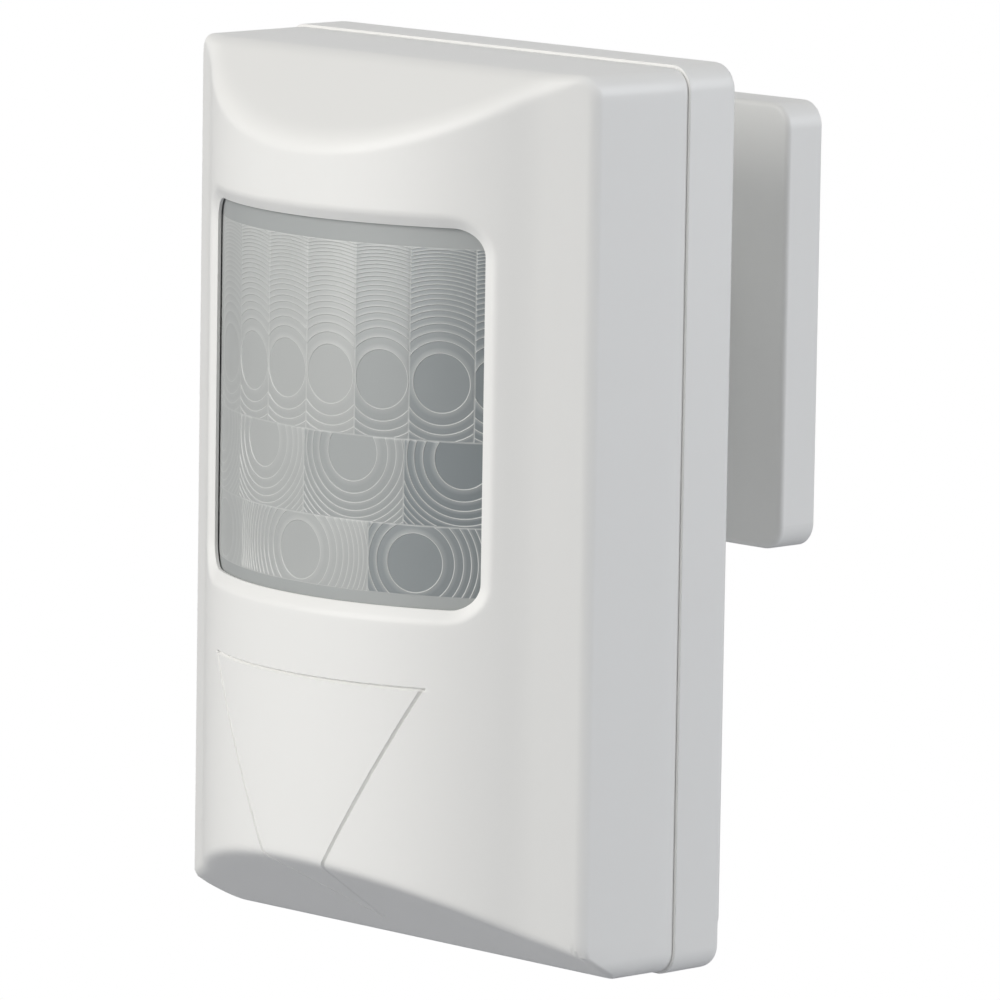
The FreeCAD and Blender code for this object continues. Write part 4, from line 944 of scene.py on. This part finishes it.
def column_wiring(node, count, tracks, pads, holes):
    """Pads at both ends of each small part and a track from the upper one to a plated hole."""
    pad_under, pad_past = 0.3, 0.45
    side_step = 0.6
    for i, (x, z0, z1) in enumerate(column_places(node, count)):
        pads.append([(x, z0 - pad_past), (x, z0 + pad_under)])
        pads.append([(x, z1 - pad_under), (x, z1 + pad_past)])
        top = z1 + 1.3 + 0.5 * (i % 3)
        end = (x + side_step, top + side_step)
        tracks.append([(x, z1 + pad_under), (x, top), end])
        holes.append(end)


def terminal_wiring(tracks, holes):
    """A track up from each terminal to a plated hole, each a little longer than the last."""
    low, high = node_box("terminal_block")
    pitch = (high[0] - low[0]) / TERMINALS
    side_step = 0.7
    for i in range(TERMINALS):
        x = low[0] + (i + 0.5) * pitch
        top = high[2] + 1.0 + 0.3 * i
        end = (x + side_step, top + side_step)
        tracks.append([(x, high[2] - 0.4), (x, top), end])
        holes.append(end)


def finish_board():
    """Tracks, pads, plated holes and part outlines on the board's front."""
    board_low, board_high = node_box("circuit_board")
    face_y = board_low[1]
    tracks, pads, holes = [], [], []
    for node in ("amplifier_chip", "control_chip"):
        for side in (-1, 1):
            chip_wiring(node, side, tracks, pads, holes)
    column_wiring("chip_resistors", 9, tracks, pads, holes)
    column_wiring("ceramic_capacitors", 7, tracks, pads, holes)
    terminal_wiring(tracks, holes)
    # one long track up each side of the board
    edge, end_gap = 1.1, 6.0
    for x in (board_high[0] - edge, board_low[0] + edge):
        tracks.append([(x, board_low[2] + end_gap), (x, board_high[2] - end_gap)])
    outlines = [
        legend_outline(node)
        for node in ("terminal_block", "alarm_relay", "tamper_switch", "sensitivity_trimmer", "sensor_shroud")
    ]
    track_strips = ribbons(tracks, TRACK_WIDTH, face_y, TRACK_LIFT)
    pad_strips = ribbons(pads, PAD_WIDTH, face_y, PAD_LIFT)
    legend_strips = ribbons(outlines, LEGEND_WIDTH, face_y, LEGEND_LIFT)
    make_piece("board_tracks", *track_strips, "head", TRACK_GREEN, "board")
    make_piece("board_pads", *pad_strips, "head", TIN, "steel")
    make_piece("plated_holes", *hole_rings(holes, face_y, PAD_LIFT), "head", TIN, "steel")
    make_piece("board_legend", *legend_strips, "head", LEGEND_WHITE, "frame_plastic")


def finish_inner_parts():
    """Softened edges and second finishes on what stands on the board."""
    leg_reach, end_cap, can_top, pin_foot = 1.0, 0.05, 0.02, 2.6
    for node, material, slot, width in (
        ("terminal_block", TERMINAL_BLUE, "terminal_plastic", 0.15),
        ("alarm_relay", RELAY_WHITE, "relay_case", 0.2),
        ("tamper_switch", EPOXY, "black_plastic", 0.15),
        ("sensitivity_trimmer", TRIMMER_BLUE, "trimmer_blue", 0.12),
        ("sensor_shroud", EPOXY, "shroud_plastic", 0.15),
        ("jumper_caps", EPOXY, "black_plastic", 0.12),
    ):
        softened(node, material, "head", width)
    for node in ("amplifier_chip", "control_chip"):
        low, high = node_box(node)
        chip = softened(node, EPOXY, "head", 0.06)
        two_tone(chip, TIN, lambda x, y, z: x < low[0] + leg_reach or x > high[0] - leg_reach)
    for node, material, slot in (("chip_resistors", EPOXY, "black_plastic"),
                                 ("ceramic_capacitors", CERAMIC, "ceramic")):
        low, high = node_box(node)
        parts = softened(node, material, "head", 0.05)
        two_tone(parts, TIN, lambda x, y, z: z < low[2] + end_cap or z > high[2] - end_cap)
    low, high = node_box("filter_capacitors")
    cans = softened("filter_capacitors", SLEEVE, "head", 0.25)
    two_tone(cans, ALUMINIUM, lambda x, y, z: y < low[1] + can_top)
    low, high = node_box("jumper_pins")
    pins = softened("jumper_pins", GOLD, "head", 0.05)
    two_tone(pins, EPOXY, lambda x, y, z: y > high[1] - pin_foot)


# ---------------------------------------------------------------- camera, light and floor

# the camera, in metres and degrees
CAMERA_PLACE = (0.674759, -0.681369, 0.117137)
CAMERA_AZIMUTH = 45.806
CAMERA_ELEVATION = 8.265
CAMERA_ROLL = 0.902
SENSOR_WIDTH = 36.0
LENS_LENGTH = 8.738           # in widths of the sensor
LIGHT_TARGET = (0.0, -0.03, -0.02)
FLOOR_LEVEL = -0.45
FLOOR_REACH = 14.0


def towards(azimuth, elevation):
    """The direction at an azimuth from the front, to the viewer's right, and an elevation, in radians."""
    return Vector((math.sin(azimuth) * math.cos(elevation), -math.cos(azimuth) * math.cos(elevation),
                   math.sin(elevation)))


def look_from(position, azimuth, elevation, roll):
    """A camera's world matrix from where it stands and the turn of its line of sight."""
    across = Vector((math.cos(azimuth), math.sin(azimuth), 0.0))
    back = towards(azimuth, elevation)
    up = back.cross(across)
    cx = across * math.cos(roll) + up * math.sin(roll)
    cy = up * math.cos(roll) - across * math.sin(roll)
    turn = Matrix((cx, cy, back)).transposed().to_4x4()
    return Matrix.Translation(position) @ turn


def make_camera():
    data = bpy.data.cameras.new("camera")
    data.sensor_width = SENSOR_WIDTH
    data.lens = LENS_LENGTH * SENSOR_WIDTH
    data.clip_start = 0.01
    camera = bpy.data.objects.new("camera", data)
    bpy.context.scene.collection.objects.link(camera)
    turns = (math.radians(angle) for angle in (CAMERA_AZIMUTH, CAMERA_ELEVATION, CAMERA_ROLL))
    camera.matrix_world = look_from(Vector(CAMERA_PLACE), *turns)
    bpy.context.scene.camera = camera


def area_light(name, azimuth, elevation, distance, size, level, colour):
    """A soft square light that gives the object a set level of light from one direction."""
    data = bpy.data.lights.new(name, "AREA")
    data.shape = "SQUARE"
    data.size = size
    data.energy = level * math.pi**2 * distance**2
    data.color = colour
    light = bpy.data.objects.new(name, data)
    bpy.context.scene.collection.objects.link(light)
    away = towards(math.radians(azimuth), math.radians(elevation))
    light.location = Vector(LIGHT_TARGET) + away * distance
    light.rotation_euler = away.to_track_quat("Z", "Y").to_euler()


def make_lights():
    area_light("key_light", -12.0, 22.0, 1.2, 1.0, 0.82, (1.0, 0.985, 0.96))
    area_light("side_fill", 128.0, 20.0, 1.4, 0.8, 0.51, (0.94, 0.96, 1.0))
    area_light("high_light", -8.0, 50.0, 1.3, 0.6, 0.05, (0.97, 0.98, 1.0))
    area_light("rear_glow", -134.0, 14.0, 1.6, 1.0, 0.035, (0.97, 0.98, 1.0))


def make_surroundings():
    """Soft light from all round, stronger from the sides than from above."""
    level_strength, high_strength = 0.60, 0.29
    world = bpy.data.worlds.new("studio")
    bpy.context.scene.world = world
    world.use_nodes = True
    sky = Shader(world.node_tree)
    direction = sky.add("ShaderNodeTexCoord").outputs["Generated"]
    axes = sky.add("ShaderNodeSeparateXYZ")
    sky.join(direction, axes.inputs[0])
    background = world.node_tree.nodes["Background"]
    background.inputs["Color"].default_value = (0.99, 0.99, 1.0, 1)
    strength = sky.spread(axes.outputs["Z"], 0.0, 0.5, level_strength, high_strength)
    sky.join(strength, background.inputs["Strength"])


def make_floor():
    """A pale floor that looks plain white and gives soft grey light back."""
    data = bpy.data.meshes.new("floor")
    quarters = ((-1, -1), (1, -1), (1, 1), (-1, 1))
    corners = [(x * FLOOR_REACH, y * FLOOR_REACH, FLOOR_LEVEL) for x, y in quarters]
    data.from_pydata(corners, [], [(0, 1, 2, 3)])
    floor = bpy.data.objects.new("floor", data)
    bpy.context.scene.collection.objects.link(floor)
    material, s, shader = new_material("pale_floor")
    shader["Base Color"].default_value = (0.42, 0.43, 0.455, 1)
    shader["Roughness"].default_value = 0.9
    glow = s.add("ShaderNodeEmission", Strength=1.0)
    seen = s.add("ShaderNodeLightPath").outputs["Is Camera Ray"]
    blend = s.add("ShaderNodeMixShader")
    s.join(seen, blend.inputs[0])
    s.join(s.tree.nodes["Principled BSDF"].outputs[0], blend.inputs[1])
    s.join(glow.outputs[0], blend.inputs[2])
    s.join(blend.outputs[0], s.tree.nodes["Material Output"].inputs["Surface"])
    data.materials.append(material)


make_camera()
make_lights()
make_surroundings()
make_floor()
bpy.context.scene.view_settings.view_transform = "Standard"

make_front_cover()
make_lens()
softened("rear_cover", WHITE_COVER, "head", 0.12)
softened("socket_housing", WHITE_COVER, "head", 0.2)
softened("socket_cap", WHITE_COVER, "head", 0.2)
softened("ball_stud", WHITE_BRACKET, "bracket", 0.2)
softened("lens_retainer", FRAME_WHITE, "cover", 0.15)
finish_inner_parts()
finish_board()
for node, material in (
    ("circuit_board", BOARD_GREEN), ("wall_bracket", WHITE_BRACKET), ("socket_liner", NYLON),
    ("stud_screw", STEEL), ("socket_screws", STEEL), ("board_screws", STEEL), ("terminal_screws", STEEL),
    ("tamper_spring", STEEL), ("sensor_leads", STEEL), ("sensor_header", NICKEL), ("sensor_can", NICKEL),
    ("sensor_filter", FILTER_GLASS), ("sensor_element", CERAMIC), ("tamper_plunger", IVORY),
    ("trimmer_rotor", IVORY), ("status_led", LED_RED),
):
    dress(node, material)
